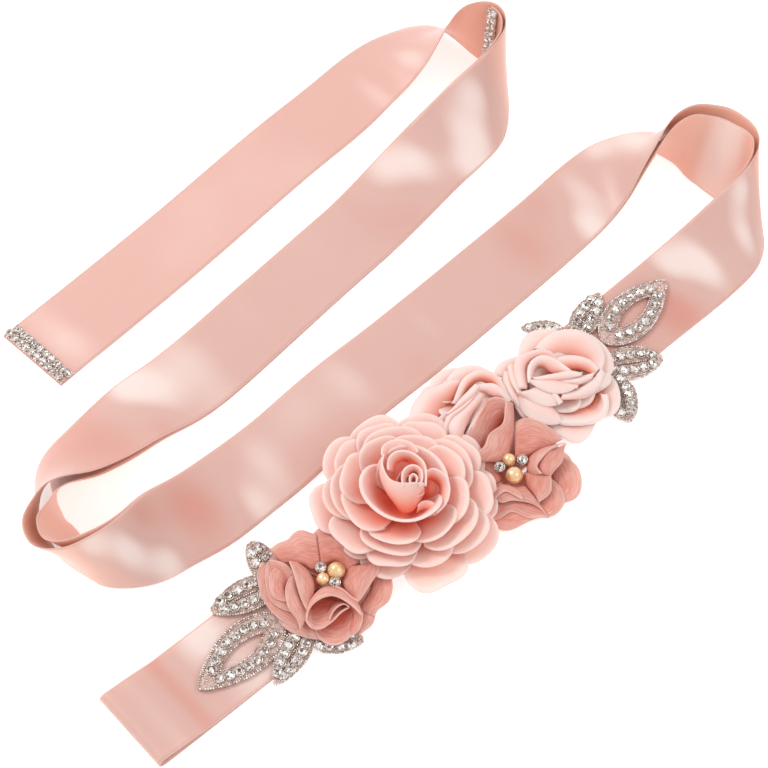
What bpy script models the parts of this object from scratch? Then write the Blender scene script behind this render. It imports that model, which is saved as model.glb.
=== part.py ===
"""Satin sash laid in long runs, with a flower and rhinestone applique on one run.

The sash is one strip of ribbon. It is followed from its first end, run after run, to the end
fold, and the same strip then comes back underneath. Lengths in the tables are millimetres and
angles are degrees; the mesh is built in metres, +Z up, with the origin in the middle of the
underside.
"""

import math
from typing import NamedTuple

import bmesh
import bpy
import numpy as np

MM = 0.001

# Driving sizes, in millimetres
RIBBON_WIDTH = 40.0
WALL = 1.0
SEAM = 0.35
LAYER = WALL + SEAM
PETAL_WALL = 1.0
EDGE_CLEAR = 0.15
ORIGIN = (2.4, 10.87)

# Mesh steps, in millimetres along the ribbon and in strips across it
RUN_STEP = 14.0
TURN_STEP = 4.5
ACROSS = 3
FOLD_STEPS = 6


class Section(NamedTuple):
    """One cross section of the ribbon, seen from above.

    x, y is the ribbon's middle. across is the direction from its left edge to its right edge,
    before it rolls. roll turns it about its own length: 0 and every half turn are flat, 90 is
    on edge. gap is the distance to the same ribbon coming back inside or underneath.
    """

    x: float
    y: float
    across: float
    roll: float
    gap: float


#        x     y    across roll  gap
RUN_1 = (
    (-166, 12, -42, 0, 0),
    (-136, 42, -45, 0, 0),
    (-91, 88, -45, 0, 0),
    (-45, 137, -45, 0, 0),
    (-22, 160, -45, 1, 0),
)
TOP_TURN = (
    (-1, 181, -47, 10, 0),
    (10, 189, -52, 22, 0),
    (19, 193, -60, 38, 0),
    (28, 194, -70, 57, 0),
    (37, 194, -84, 77, 0),
    (45, 193, -100, 92, 2.0),
    (52, 191, -106, 101, 2.5),
    (58, 186, -98, 104, 2.5),
    (61, 179, -84, 104, 2.0),
    (61, 171, -68, 107, 1.5),
    (59, 164, -56, 112, 1.4),
    (56, 157, -49, 120, 1.35),
    (52, 151, -46, 131, 1.35),
    (46, 145, -44, 144, 1.35),
    (37, 137, -43, 158, 1.35),
)
RUN_2 = (
    (27, 128, 137, 12, 1.35),
    (10, 109, 137, 5, 1.35),
    (-14, 82, 137, 0, 1.35),
    (-51, 43, 137, 0, 1.35),
    (-84, 8, 136, 0, 1.35),
    (-100, -7, 134, -4, 1.5),
)
LEFT_TURN = (
    (-113, -18, 133, -12, 2.2),
    (-124, -29, 133, -19, 2.8),
    (-134, -40, 134, -29, 3.2),
    (-142, -49, 135, -41, 3.6),
    (-148, -57, 133, -57, 4.5),
    (-151, -64, 122, -69, 6.0),
    (-152, -71, 96, -75, 7.0),
    (-152, -78, 60, -72, 7.0),
    (-149, -85, 40, -66, 6.0),
    (-144, -92, 32, -64, 5.0),
    (-138, -97, 20, -68, 4.0),
    (-130, -100, -8, -74, 3.5),
    (-122, -99, -36, -71, 3.0),
    (-114, -96, -46, -63, 2.4),
    (-105, -90, -48, -51, 1.8),
    (-96, -81, -48, -37, 1.5),
    (-84, -71, -47, -22, 1.4),
)
RUN_3 = (
    (-67, -55, -46, -9, 1.35),
    (-49, -38, -46, -3, 1.35),
    (-28, -16, -46, 0, 1.35),
    (8, 17, -46, 0, 1.35),
    (56, 62, -47, 0, 1.35),
    (82, 87, -47, 1, 1.35),
)
RIGHT_TURN = (
    (99, 104, -49, 6, 1.6),
    (109, 114, -54, 17, 2.0),
    (117, 121, -60, 31, 2.6),
    (126, 126, -68, 47, 3.2),
    (134, 128, -78, 65, 4.0),
    (142, 129, -92, 83, 5.0),
    (149, 129, -105, 97, 6.0),
    (156, 127, -110, 108, 6.5),
    (164, 124, -110, 117, 6.5),
    (171, 119, -107, 122, 6.0),
    (177, 113, -100, 124, 4.5),
    (181, 106, -90, 125, 3.0),
    (182, 98, -78, 127, 2.2),
    (180, 90, -67, 131, 1.8),
    (176, 83, -59, 138, 1.5),
    (170, 76, -53, 148, 1.4),
    (161, 68, -49, 160, 1.35),
)
RUN_4 = (
    (148, 57, 133, 10, 1.35),
    (130, 42, 133, 4, 1.35),
    (109, 24, 133, 0, 1.35),
    (72, -10, 133, 0, 1.35),
    (30, -48, 133, 0, 1.35),
    (-11, -85, 133, 0, 1.35),
    (-68, -136, 133, 0, 1.35),
    (-88, -153, 133, 0, 2.6),
    (-106, -168, 133, 0, 6.0),
)

# The ribbon's stretches in the order they are laid
STRETCHES = (
    ("run_1", RUN_1),
    ("top_turn", TOP_TURN),
    ("run_2", RUN_2),
    ("left_turn", LEFT_TURN),
    ("run_3", RUN_3),
    ("right_turn", RIGHT_TURN),
    ("run_4", RUN_4),
)


class Spline:
    """A natural cubic curve through rows of values at rising knots."""

    def __init__(self, knots, rows):
        self.knots = np.array(knots, float)
        self.rows = np.array(rows, float)
        step = np.diff(self.knots)
        slope = np.diff(self.rows, axis=0) / step[:, None]
        system = np.eye(len(self.knots))
        wanted = np.zeros_like(self.rows)
        for i in range(1, len(self.knots) - 1):
            system[i, i - 1 : i + 2] = step[i - 1], 2 * (step[i - 1] + step[i]), step[i]
            wanted[i] = 6 * (slope[i] - slope[i - 1])
        self.bend = np.linalg.solve(system, wanted)

    def at(self, places):
        """The values at the given places between the first knot and the last."""
        places = np.asarray(places, float)
        i = np.clip(np.searchsorted(self.knots, places) - 1, 0, len(self.knots) - 2)
        step = (self.knots[i + 1] - self.knots[i])[:, None]
        late = (places[:, None] - self.knots[i][:, None]) / step
        early = 1 - late
        curve = (early**3 - early) * self.bend[i] + (late**3 - late) * self.bend[i + 1]
        return early * self.rows[i] + late * self.rows[i + 1] + curve * step**2 / 6


def unit(vectors):
    """The vectors at length one."""
    return vectors / np.linalg.norm(vectors, axis=-1, keepdims=True)


class Ribbon:
    """The strip of ribbon: its middle line, the way its width points, and its upper face."""

    def __init__(self, stretches):
        sections = [Section(*row) for _, rows in stretches for row in rows]
        middle = np.array([(s.x, s.y) for s in sections], float)
        steps = np.linalg.norm(np.diff(middle, axis=0), axis=1)
        knots = np.concatenate([[0], np.cumsum(steps)])
        across = np.radians([s.across for s in sections])
        roll = np.radians([s.roll for s in sections])
        width = [np.cos(across) * np.cos(roll), np.sin(across) * np.cos(roll), np.sin(roll)]
        gap = np.array([s.gap for s in sections], float)
        self.length = knots[-1]
        self.spline = Spline(knots, np.column_stack([middle, np.transpose(width)]))
        self.knots = knots
        self.gaps = gap
        self.starts = {}
        first = 0
        for name, rows in stretches:
            self.starts[name] = knots[first]
            first += len(rows)

    def rows(self, places):
        """Middle points, width directions and upper normals of both layers at the places."""
        places = np.asarray(places, float)
        values = self.spline.at(places)
        ahead = self.spline.at(np.minimum(places + 0.5, self.length))
        behind = self.spline.at(np.maximum(places - 0.5, 0))
        along = np.column_stack([(ahead - behind)[:, :2], np.zeros(len(places))])
        width = unit(values[:, 2:5])
        up = unit(np.cross(width, unit(along)))
        gap = np.interp(places, self.knots, self.gaps)
        edge = RIBBON_WIDTH / 2 + EDGE_CLEAR
        rest = edge * np.abs(width[:, 2]) + WALL / 2 * np.abs(up[:, 2])
        lift = np.maximum(up[:, 2], 0) * gap
        outer = np.column_stack([values[:, :2], rest + lift])
        flat = up[:, :2]
        lean = np.maximum(np.linalg.norm(flat, axis=1), 1e-6)
        aside = np.where(up[:, 2] > 0, gap * lean, gap / np.maximum(lean, 0.5))
        inner = np.column_stack([values[:, :2] - flat / lean[:, None] * aside[:, None], rest])
        return outer, inner, width, up

    def top_at(self, plan, name):
        """The height of the top face of a stretch under points seen from above."""
        places = np.arange(self.starts[name], self.length, 1.0)
        outer, _, width, up = self.rows(places)
        along = np.gradient(outer[:, :2], axis=0)
        off = plan[..., None, :] - outer[:, :2]
        i = np.argmin(np.abs((off * unit(along)).sum(axis=-1)), axis=-1)
        flat = width[i][..., :2]
        aside = ((plan - outer[i][..., :2]) * flat).sum(axis=-1) / (flat**2).sum(axis=-1)
        return outer[i][..., 2] + aside * width[i][..., 2] + WALL / 2 / up[i][..., 2]


class Finish(NamedTuple):
    """A colour with how rough and how metallic it is."""

    colour: tuple
    roughness: float
    metallic: float = 0.0


SATIN = Finish((0.82, 0.53, 0.46), 0.35)
PALE_SATIN = Finish((0.93, 0.68, 0.60), 0.35)
CHIFFON = Finish((0.88, 0.45, 0.40), 0.8)
CRINKLE = Finish((0.78, 0.36, 0.30), 0.85)
PEARL = Finish((0.85, 0.66, 0.36), 0.2)
STONES = Finish((0.75, 0.72, 0.70), 0.25, 0.8)


class Ring(NamedTuple):
    """Petals that lap one another round a flower.

    They start root from the middle at height low and rise to height high at distance span, by
    the power cup. Each of petals is (the way it points, how far it reaches).
    """

    half_angle: float
    root: float
    low: float
    span: float
    high: float
    cup: float
    ruffle: float
    petals: tuple


#         half root  low  span high cup ruffle
ROSE = (
    Ring(46, 7.0, 4.3, 43, 13, 1.0, 0, ((20, 39), (92, 42), (164, 42), (236, 35), (308, 43))),
    Ring(46, 6.5, 7.1, 36, 18.5, 1.0, 0, ((56, 35), (128, 35), (200, 35), (272, 34), (344, 36))),
    Ring(58, 6.0, 10.2, 28, 26.5, 1.2, 0, ((10, 27), (100, 26), (190, 28), (280, 25))),
    Ring(108, 5.0, 13.8, 19, 33, 2.0, 0, ((60, 18), (240, 19))),
)
LOWER_CHIFFON = (
    Ring(44, 5.0, 4.6, 29, 12, 1.0, 0.4, ((100, 18), (172, 29), (244, 28), (316, 24), (28, 14))),
)
UPPER_CHIFFON = (
    Ring(44, 5.0, 4.6, 29, 12, 1.0, 0.4, ((128, 16), (200, 13), (272, 24), (344, 28), (56, 24))),
)
UPPER_SATIN = (Ring(100, 6.0, 4.6, 26, 14, 1.1, 0, ((20, 26), (200, 25))),)
LOWER_SATIN = (Ring(100, 6.0, 4.6, 26, 14, 1.1, 0, ((100, 21), (280, 10))),)


class Coil(NamedTuple):
    """A rolled strip in the middle of a flower: a wall that winds outward."""

    low: float
    high: float
    inner: float
    outer: float
    turns: float
    waist: float


class Flower(NamedTuple):
    """A flower: where its middle is, its rings of petals and its rolled middle, if it has one."""

    name: str
    x: float
    y: float
    rings: tuple
    coil: Coil
    pearls: tuple
    finish: Finish


# The pearls of a flower: how far from its middle, across and away, and the radius
LOWER_PEARLS = ((4.0, 3.6, 4.0), (-1.6, 0.6, 2.9))
UPPER_PEARLS = ((-2.4, -6.0, 4.0), (-3.8, 0.4, 2.9))
PEARL_HEIGHT = 10.9

ROSE_COIL = Coil(14.0, 35, 1.5, 9.5, 2.2, 0.42)
UPPER_COIL = Coil(6.5, 18, 1.5, 10, 2.5, 0.6)
LOWER_COIL = Coil(6.5, 18, 1.5, 9, 2.3, 0.6)

FLOWERS = (
    Flower("rose", 10, -65, ROSE, ROSE_COIL, (), CHIFFON),
    Flower("lower_chiffon", -25, -103, LOWER_CHIFFON, None, LOWER_PEARLS, CRINKLE),
    Flower("upper_chiffon", 61, -46, UPPER_CHIFFON, None, UPPER_PEARLS, CRINKLE),
    Flower("upper_satin_rose", 83, -4, UPPER_SATIN, UPPER_COIL, (), PALE_SATIN),
    Flower("lower_satin_rose", 37, -13, LOWER_SATIN, LOWER_COIL, (), PALE_SATIN),
)


class Leaf(NamedTuple):
    """A beaded leaf from its tip to its foot, with an opening of this half width or none."""

    name: str
    tip: tuple
    foot: tuple
    half_width: float
    opening: float


LEAVES = (
    Leaf("lower_open_leaf", (-80, -151), (-44, -117), 12, 3.5),
    Leaf("lower_left_leaf", (-75, -114), (-50, -102), 5.5, 0),
    Leaf("lower_right_leaf", (-46, -148), (-34, -124), 5.5, 0),
    Leaf("lower_small_leaf", (-62, -81), (-50, -96), 4.5, 0),
    Leaf("upper_open_leaf", (135, 53), (103, 20), 12, 3.5),
    Leaf("upper_left_leaf", (103, 46), (91, 24), 5.5, 0),
    Leaf("upper_right_leaf", (130, 13), (108, 6), 6, 0),
    Leaf("upper_low_leaf", (111, -21), (109, -1), 4.5, 0),
    Leaf("upper_small_leaf", (65, 28), (84, 27), 4, 0),
)
LEAF_EDGE = 1.0
LEAF_RIDGE = 2.4

# The stone trims of the cut ends, and how far past the start of the top turn the second end is
TRIM_WIDTH = 8.5
TRIM_INSET = 0.5
TRIM_PLATE = 0.8
STONE_HEIGHT = 1.6
STONES_IN_ROW = 10
SECOND_END = 57.0


# The model


def add_object(name, mesh, finish):
    """Link a mesh as an object with a material of its own."""
    obj = bpy.data.objects.new(name, mesh)
    bpy.context.collection.objects.link(obj)
    material = bpy.data.materials.new(name)
    material.use_nodes = True
    shader = material.node_tree.nodes["Principled BSDF"]
    shader.inputs["Base Color"].default_value = (*finish.colour, 1)
    shader.inputs["Roughness"].default_value = finish.roughness
    shader.inputs["Metallic"].default_value = finish.metallic
    mesh.materials.append(material)
    mesh.shade_smooth()
    mesh.set_sharp_from_angle(angle=math.radians(40))
    return obj


def grid_faces(rows, columns, first=0, closed=False):
    """Quads of a grid of vertices, row by row, that may close on itself from row to row."""
    faces = []
    for i in range(rows if closed else rows - 1):
        for j in range(columns - 1):
            a = first + i * columns + j
            b = first + (i + 1) % rows * columns + j
            faces.append((a, b, b + 1, a + 1))
    return faces


def add_sheet(name, points, thickness, finish):
    """A wall of even thickness about a grid of points, in millimetres."""
    rows, columns = points.shape[:2]
    mesh = bpy.data.meshes.new(name)
    mesh.from_pydata((points.reshape(-1, 3) * MM).tolist(), [], grid_faces(rows, columns))
    obj = add_object(name, mesh, finish)
    wall = obj.modifiers.new("Wall", "SOLIDIFY")
    wall.thickness = thickness * MM
    wall.offset = 0
    return obj


def add_block(name, top, bottom, finish):
    """A closed body between two grids of points of one shape, in millimetres."""
    rows, columns = top.shape[:2]
    count = rows * columns
    mesh = bpy.data.meshes.new(name)
    vertices = np.concatenate([top.reshape(-1, 3), bottom.reshape(-1, 3)]) * MM
    faces = grid_faces(rows, columns)
    faces += [tuple(reversed(face)) for face in grid_faces(rows, columns, count)]
    rim = [i * columns for i in range(rows)]
    rim += [(rows - 1) * columns + j for j in range(1, columns)]
    rim += [i * columns + columns - 1 for i in reversed(range(rows - 1))]
    rim += list(reversed(range(1, columns - 1)))
    for a, b in zip(rim, rim[1:] + rim[:1]):
        faces.append((b, a, a + count, b + count))
    mesh.from_pydata(vertices.tolist(), [], faces)
    point_outward(mesh)
    return add_object(name, mesh, finish)


def point_outward(mesh):
    """Turn every face of a closed mesh outward."""
    body = bmesh.new()
    body.from_mesh(mesh)
    bmesh.ops.recalc_face_normals(body, faces=body.faces)
    body.to_mesh(mesh)
    body.free()


def moved(points):
    """Points of the tables' frame in the part's own frame."""
    return points - np.array([*ORIGIN, 0])


def strip_points(middle, width, columns=ACROSS):
    """The grid of points across a strip with these middles and width directions."""
    shares = np.linspace(-0.5, 0.5, columns + 1)
    return moved(middle[:, None] + width[:, None] * shares[None, :, None] * RIBBON_WIDTH)


def add_ribbon(ribbon):
    """Every stretch of the ribbon, the end fold and the strip that comes back underneath."""
    names = list(ribbon.starts)
    ends = [ribbon.starts[name] for name in names[1:]] + [ribbon.length]
    for name, end in zip(names, ends):
        start = ribbon.starts[name] + (SEAM if name != names[0] else 0)
        step = TURN_STEP if name.endswith("turn") else RUN_STEP
        places = np.linspace(start, end, math.ceil((end - start) / step) + 1)
        outer, _, width, _ = ribbon.rows(places)
        add_sheet(name, strip_points(outer, width), WALL, SATIN)
        if name == "run_1":
            continue
        if name == "top_turn":
            first = ribbon.starts[name] + SECOND_END
            places = np.concatenate([[first], places[places > first + 1]])
        _, inner, width, _ = ribbon.rows(places)
        add_sheet("inner_" + name, strip_points(inner, width), WALL, SATIN)
    add_end_fold(ribbon)


def add_end_fold(ribbon):
    """The bend at the end of the last run, where the ribbon turns back under itself."""
    outer, inner, width, _ = ribbon.rows([ribbon.length - 1, ribbon.length])
    along = unit(outer[1] - outer[0]) * np.array([1, 1, 0])
    centre = (outer[1] + inner[1]) / 2
    radius = (outer[1] - inner[1])[2] / 2
    start = centre + unit(along) * SEAM
    turn = np.radians(np.linspace(0, 180, FOLD_STEPS + 1))
    rise = np.array([0, 0, 1])
    middle = start + radius * (
        np.sin(turn)[:, None] * unit(along) + np.cos(turn)[:, None] * rise
    )
    add_sheet("end_fold", strip_points(middle, np.tile(width[1], (len(turn), 1))), WALL, SATIN)


def trim_block(name, middle, width, up):
    """A band of stones in cups on the face of a cut end: two rows side by side."""
    across = np.linspace(-0.5, 0.5, STONES_IN_ROW * 2 + 1) * (RIBBON_WIDTH - 1)
    wave = np.arange(len(across)) % 2
    rows = np.arange(len(middle)) % 2
    height = TRIM_PLATE + STONE_HEIGHT * rows[:, None] * wave
    low = middle + up * (WALL / 2 + 2 * SEAM)
    plan = low[:, None] + width[:, None] * across[None, :, None]
    add_block(name, moved(plan + up[:, None] * height[..., None]), moved(plan), STONES)


def add_trims(ribbon):
    """The stone trims across both cut ends of the ribbon."""
    steps = np.linspace(TRIM_INSET, TRIM_INSET + TRIM_WIDTH, 5)
    outer, _, width, up = ribbon.rows(steps)
    trim_block("first_end_trim", outer, width, up)
    _, inner, width, up = ribbon.rows(ribbon.starts["top_turn"] + SECOND_END + steps)
    trim_block("second_end_trim", inner, width, -up)


def petal_points(flower, ring, angle, reach, rows=5, columns=7):
    """The middle grid of one petal: out along its length and round the flower."""
    out = np.linspace(0, 1, rows)[:, None]
    side = np.linspace(-1, 1, columns)[None, :]
    neck = 0.72 + 0.28 * np.sin(np.minimum(out * 1.5, 1) * math.pi / 2)
    turn = np.radians(angle + side * ring.half_angle * neck)
    end = reach - (reach - ring.root) * 0.3 * side**4
    radius = ring.root + (end - ring.root) * out
    share = (radius - ring.root) / (ring.span - ring.root)
    height = ring.low + (ring.high - ring.low) * share**ring.cup
    height = height + ring.ruffle * share**2 * np.cos(side * math.pi * 2)
    points = np.stack([radius * np.cos(turn), radius * np.sin(turn), height], axis=-1)
    normal = unit(np.cross(np.gradient(points, axis=0), np.gradient(points, axis=1)))
    lap = (PETAL_WALL + 1.5 * SEAM) / 2 * ring.half_angle * len(ring.petals) / 180
    return points + normal * (lap * side)[..., None] + np.array([flower.x, flower.y, 0])


def add_petals(flower):
    """Every petal of a flower, lapped over the next one in its ring."""
    number = 0
    for ring in flower.rings:
        for angle, reach in ring.petals:
            number += 1
            points = moved(petal_points(flower, ring, angle, reach))
            add_sheet(f"{flower.name}_petal_{number}", points, PETAL_WALL, flower.finish)


def add_coil(flower):
    """The rolled strip in the middle of a flower, wider at its top than at its foot."""
    coil = flower.coil
    count = math.ceil(coil.turns * 14) + 1
    turn = np.linspace(0, coil.turns * 2 * math.pi, count)[:, None]
    share = np.linspace(0, 1, 4)[None, :]
    radius = coil.inner + (coil.outer - coil.inner) * turn / turn.max()
    widen = coil.waist + (1 - coil.waist) * np.sin(share * math.pi / 2)
    sink = 0.25 * (turn / turn.max()) ** 2
    points = np.stack(
        [
            flower.x + radius * widen * np.cos(turn),
            flower.y + radius * widen * np.sin(turn),
            coil.low + (coil.high - coil.low) * share * (1 - sink) + 0 * turn,
        ],
        axis=-1,
    )
    add_sheet(f"{flower.name}_coil", moved(points), PETAL_WALL, flower.finish)


def pearl_mesh(flower, x, y, radius):
    """A round bead above the middle of a flower."""
    mesh = bpy.data.meshes.new("pearl")
    body = bmesh.new()
    bmesh.ops.create_uvsphere(body, u_segments=12, v_segments=8, radius=radius * MM)
    centre = moved(np.array([flower.x + x, flower.y + y, PEARL_HEIGHT])) * MM
    bmesh.ops.translate(body, verts=body.verts, vec=centre)
    body.to_mesh(mesh)
    body.free()
    return mesh


def add_pearls(flower):
    """The two pearls in the middle of a chiffon flower, joined where they touch."""
    large, small = [pearl_mesh(flower, *pearl) for pearl in flower.pearls]
    pair = add_object(f"{flower.name}_pearls", large, PEARL)
    second = bpy.data.objects.new("second_pearl", small)
    bpy.context.collection.objects.link(second)
    join = pair.modifiers.new("Join", "BOOLEAN")
    join.operation = "UNION"
    join.object = second
    evaluated = pair.evaluated_get(bpy.context.evaluated_depsgraph_get())
    joined = bpy.data.meshes.new_from_object(evaluated)
    pair.modifiers.clear()
    pair.data = joined
    bpy.data.objects.remove(second)


def leaf_frame(leaf):
    """The leaf's foot, its length, and its directions along and across, seen from above."""
    tip = np.array(leaf.tip, float)
    foot = np.array(leaf.foot, float)
    length = np.linalg.norm(tip - foot)
    along = (tip - foot) / length
    return foot, length, along, np.array([-along[1], along[0]])


def leaf_half_width(leaf, share):
    """Half the leaf's width at each share of its length, from its foot to its pointed tip."""
    return leaf.half_width * np.sin(np.pi * np.clip(share, 0, 1) ** 0.8) ** 0.75


def place_on_run(ribbon, plan, height):
    """Points at these plan places, this far above the top of the last run."""
    level = ribbon.top_at(plan, "run_4") + SEAM
    return moved(np.concatenate([plan, (level + height)[..., None]], axis=-1))


def add_closed_leaf(ribbon, leaf, rows=8, columns=5):
    """A leaf filled with stones, raised along its middle."""
    foot, length, along, across = leaf_frame(leaf)
    share = np.linspace(0.03, 0.97, rows)[:, None]
    side = np.linspace(-1, 1, columns)[None, :]
    half = leaf_half_width(leaf, share)
    plan = foot + (share * length)[..., None] * along + (side * half)[..., None] * across
    height = LEAF_EDGE + (LEAF_RIDGE - LEAF_EDGE) * (1 - side**2) + 0 * share
    top = place_on_run(ribbon, plan, height)
    add_block(leaf.name, top, place_on_run(ribbon, plan, height * 0), STONES)


def add_open_leaf(ribbon, leaf, stations=28):
    """A leaf of two beaded arms that meet at its tip and its foot, round an opening."""
    foot, length, along, across = leaf_frame(leaf)
    turn = np.linspace(0, 2 * math.pi, stations, endpoint=False)
    share = (1 - np.cos(turn)) / 2
    side = np.sign(np.sin(turn)) * np.ones(stations)
    rings = []
    for inset, height in ((0, 0), (0, LEAF_EDGE), (0.5, LEAF_RIDGE), (1, LEAF_EDGE), (1, 0)):
        outer_half = leaf_half_width(leaf, share)
        inner_share = 0.24 + 0.50 * share
        inner_half = leaf.opening * np.sin(np.pi * share) ** 0.75
        half = outer_half + (inner_half - outer_half) * inset
        along_share = share + (inner_share - share) * inset
        plan = foot + (along_share * length)[:, None] * along
        plan = plan + (side * half)[:, None] * across
        rings.append(place_on_run(ribbon, plan, np.full(stations, float(height))))
    points = np.stack(rings, axis=1)
    columns = points.shape[1]
    mesh = bpy.data.meshes.new(leaf.name)
    faces = grid_faces(stations, columns, closed=True)
    for i in range(stations):
        a = i * columns
        b = (i + 1) % stations * columns
        faces.append((a, a + columns - 1, b + columns - 1, b))
    mesh.from_pydata((points.reshape(-1, 3) * MM).tolist(), [], faces)
    point_outward(mesh)
    add_object(leaf.name, mesh, STONES)


def add_leaves(ribbon):
    """Every beaded leaf of both clusters."""
    for leaf in LEAVES:
        if leaf.opening:
            add_open_leaf(ribbon, leaf)
        else:
            add_closed_leaf(ribbon, leaf)


def add_flowers():
    """Every flower: its petals, its rolled middle and its pearls."""
    for flower in FLOWERS:
        add_petals(flower)
        if flower.coil:
            add_coil(flower)
        if flower.pearls:
            add_pearls(flower)


def main():
    """Clear the scene and build the sash."""
    for obj in list(bpy.data.objects):
        bpy.data.objects.remove(obj)
    ribbon = Ribbon(STRETCHES)
    add_ribbon(ribbon)
    add_trims(ribbon)
    add_flowers()
    add_leaves(ribbon)


main()
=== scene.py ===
"""Dresses the satin sash: its ribbon, flowers, beaded leaves and stone trims, over the frame.

Lengths in the tables are millimetres and angles are degrees. Tables give places as they are
seen from above, measured from the middle of the laid sash's picture; moved() brings them into
the frame of the part.
"""

import logging
import math
from dataclasses import dataclass, field
from enum import Enum
from typing import Any, NamedTuple, Sequence, Union

import bpy
import numpy as np
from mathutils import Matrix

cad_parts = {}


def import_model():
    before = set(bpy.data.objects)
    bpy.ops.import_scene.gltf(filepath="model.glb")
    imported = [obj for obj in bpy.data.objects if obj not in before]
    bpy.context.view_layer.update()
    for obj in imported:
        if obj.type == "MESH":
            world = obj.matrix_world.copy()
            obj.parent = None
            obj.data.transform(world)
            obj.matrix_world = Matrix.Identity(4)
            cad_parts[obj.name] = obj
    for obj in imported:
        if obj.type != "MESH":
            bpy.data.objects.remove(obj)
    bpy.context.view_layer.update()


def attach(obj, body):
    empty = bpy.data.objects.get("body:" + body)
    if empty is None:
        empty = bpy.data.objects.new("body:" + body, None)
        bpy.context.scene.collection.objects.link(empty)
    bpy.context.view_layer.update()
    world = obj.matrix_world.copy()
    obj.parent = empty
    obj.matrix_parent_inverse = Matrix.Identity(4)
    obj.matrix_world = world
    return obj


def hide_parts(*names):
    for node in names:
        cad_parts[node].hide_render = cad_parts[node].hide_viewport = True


MM = 0.001
ORIGIN = (2.4, 10.87)
log = logging.getLogger("sash")


class Slot(Enum):
    """The material slots of the part's record."""

    RIBBON = "ribbon_satin"
    ROSE = "rose_chiffon"
    CRINKLE = "crinkle_chiffon"
    SATIN_ROSE = "rose_satin"
    PEARL = "pearls"
    STONE = "rhinestones"


def moved(points: np.ndarray) -> np.ndarray:
    """Bring points of the tables' frame into the frame of the part.

    Args:
        points: Places in millimetres, with x, y, z in the last axis.

    Returns:
        The same places in millimetres, measured from the part's origin.
    """
    return points - np.array([*ORIGIN, 0.0])


def unit(vectors: np.ndarray) -> np.ndarray:
    """Return the vectors at length one."""
    return vectors / np.linalg.norm(vectors, axis=-1, keepdims=True)


def walked(points: np.ndarray) -> np.ndarray:
    """Return how far along a line of points each of them is."""
    return np.concatenate([[0], np.cumsum(np.linalg.norm(np.diff(points, axis=0), axis=1))])


# Shader maths


class Link:
    """An output socket of a shader tree, on which Python's operators add Math nodes."""

    def __init__(self, shader: "Shader", socket: Any) -> None:
        """Wrap a socket of the shader's tree."""
        self.shader = shader
        self.socket = socket

    def _math(self, operation: str, first: Any, second: Any = 0.0) -> "Link":
        """Add one Math node on one or two values and return its result."""
        return self.shader.node("ShaderNodeMath", {"operation": operation}, {0: first, 1: second})

    def __add__(self, other: Any) -> "Link":
        """Return self + other."""
        return self._math("ADD", self, other)

    __radd__ = __add__

    def __sub__(self, other: Any) -> "Link":
        """Return self - other."""
        return self._math("SUBTRACT", self, other)

    def __rsub__(self, other: Any) -> "Link":
        """Return other - self."""
        return self._math("SUBTRACT", other, self)

    def __mul__(self, other: Any) -> "Link":
        """Return self * other."""
        return self._math("MULTIPLY", self, other)

    __rmul__ = __mul__

    def __truediv__(self, other: Any) -> "Link":
        """Return self / other."""
        return self._math("DIVIDE", self, other)

    def __rtruediv__(self, other: Any) -> "Link":
        """Return other / self."""
        return self._math("DIVIDE", other, self)

    def __pow__(self, other: Any) -> "Link":
        """Return self to the power of other."""
        return self._math("POWER", self, other)

    def __abs__(self) -> "Link":
        """Return the value without its sign."""
        return self._math("ABSOLUTE", self)

    def above(self, edge: float, width: float) -> "Link":
        """Return a mask that goes smoothly from 0 to 1 as the value passes an edge.

        Args:
            edge: The value in the middle of the step.
            width: How far from 0 to 1 the step takes.

        Returns:
            The mask, from 0 to 1.
        """
        settings = {"interpolation_type": "SMOOTHSTEP"}
        inputs = {0: self, 1: edge - width / 2, 2: edge + width / 2}
        return self.shader.node("ShaderNodeMapRange", settings, inputs)


Number = Union[float, Link]
Colour = Union[tuple, Link]


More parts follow.
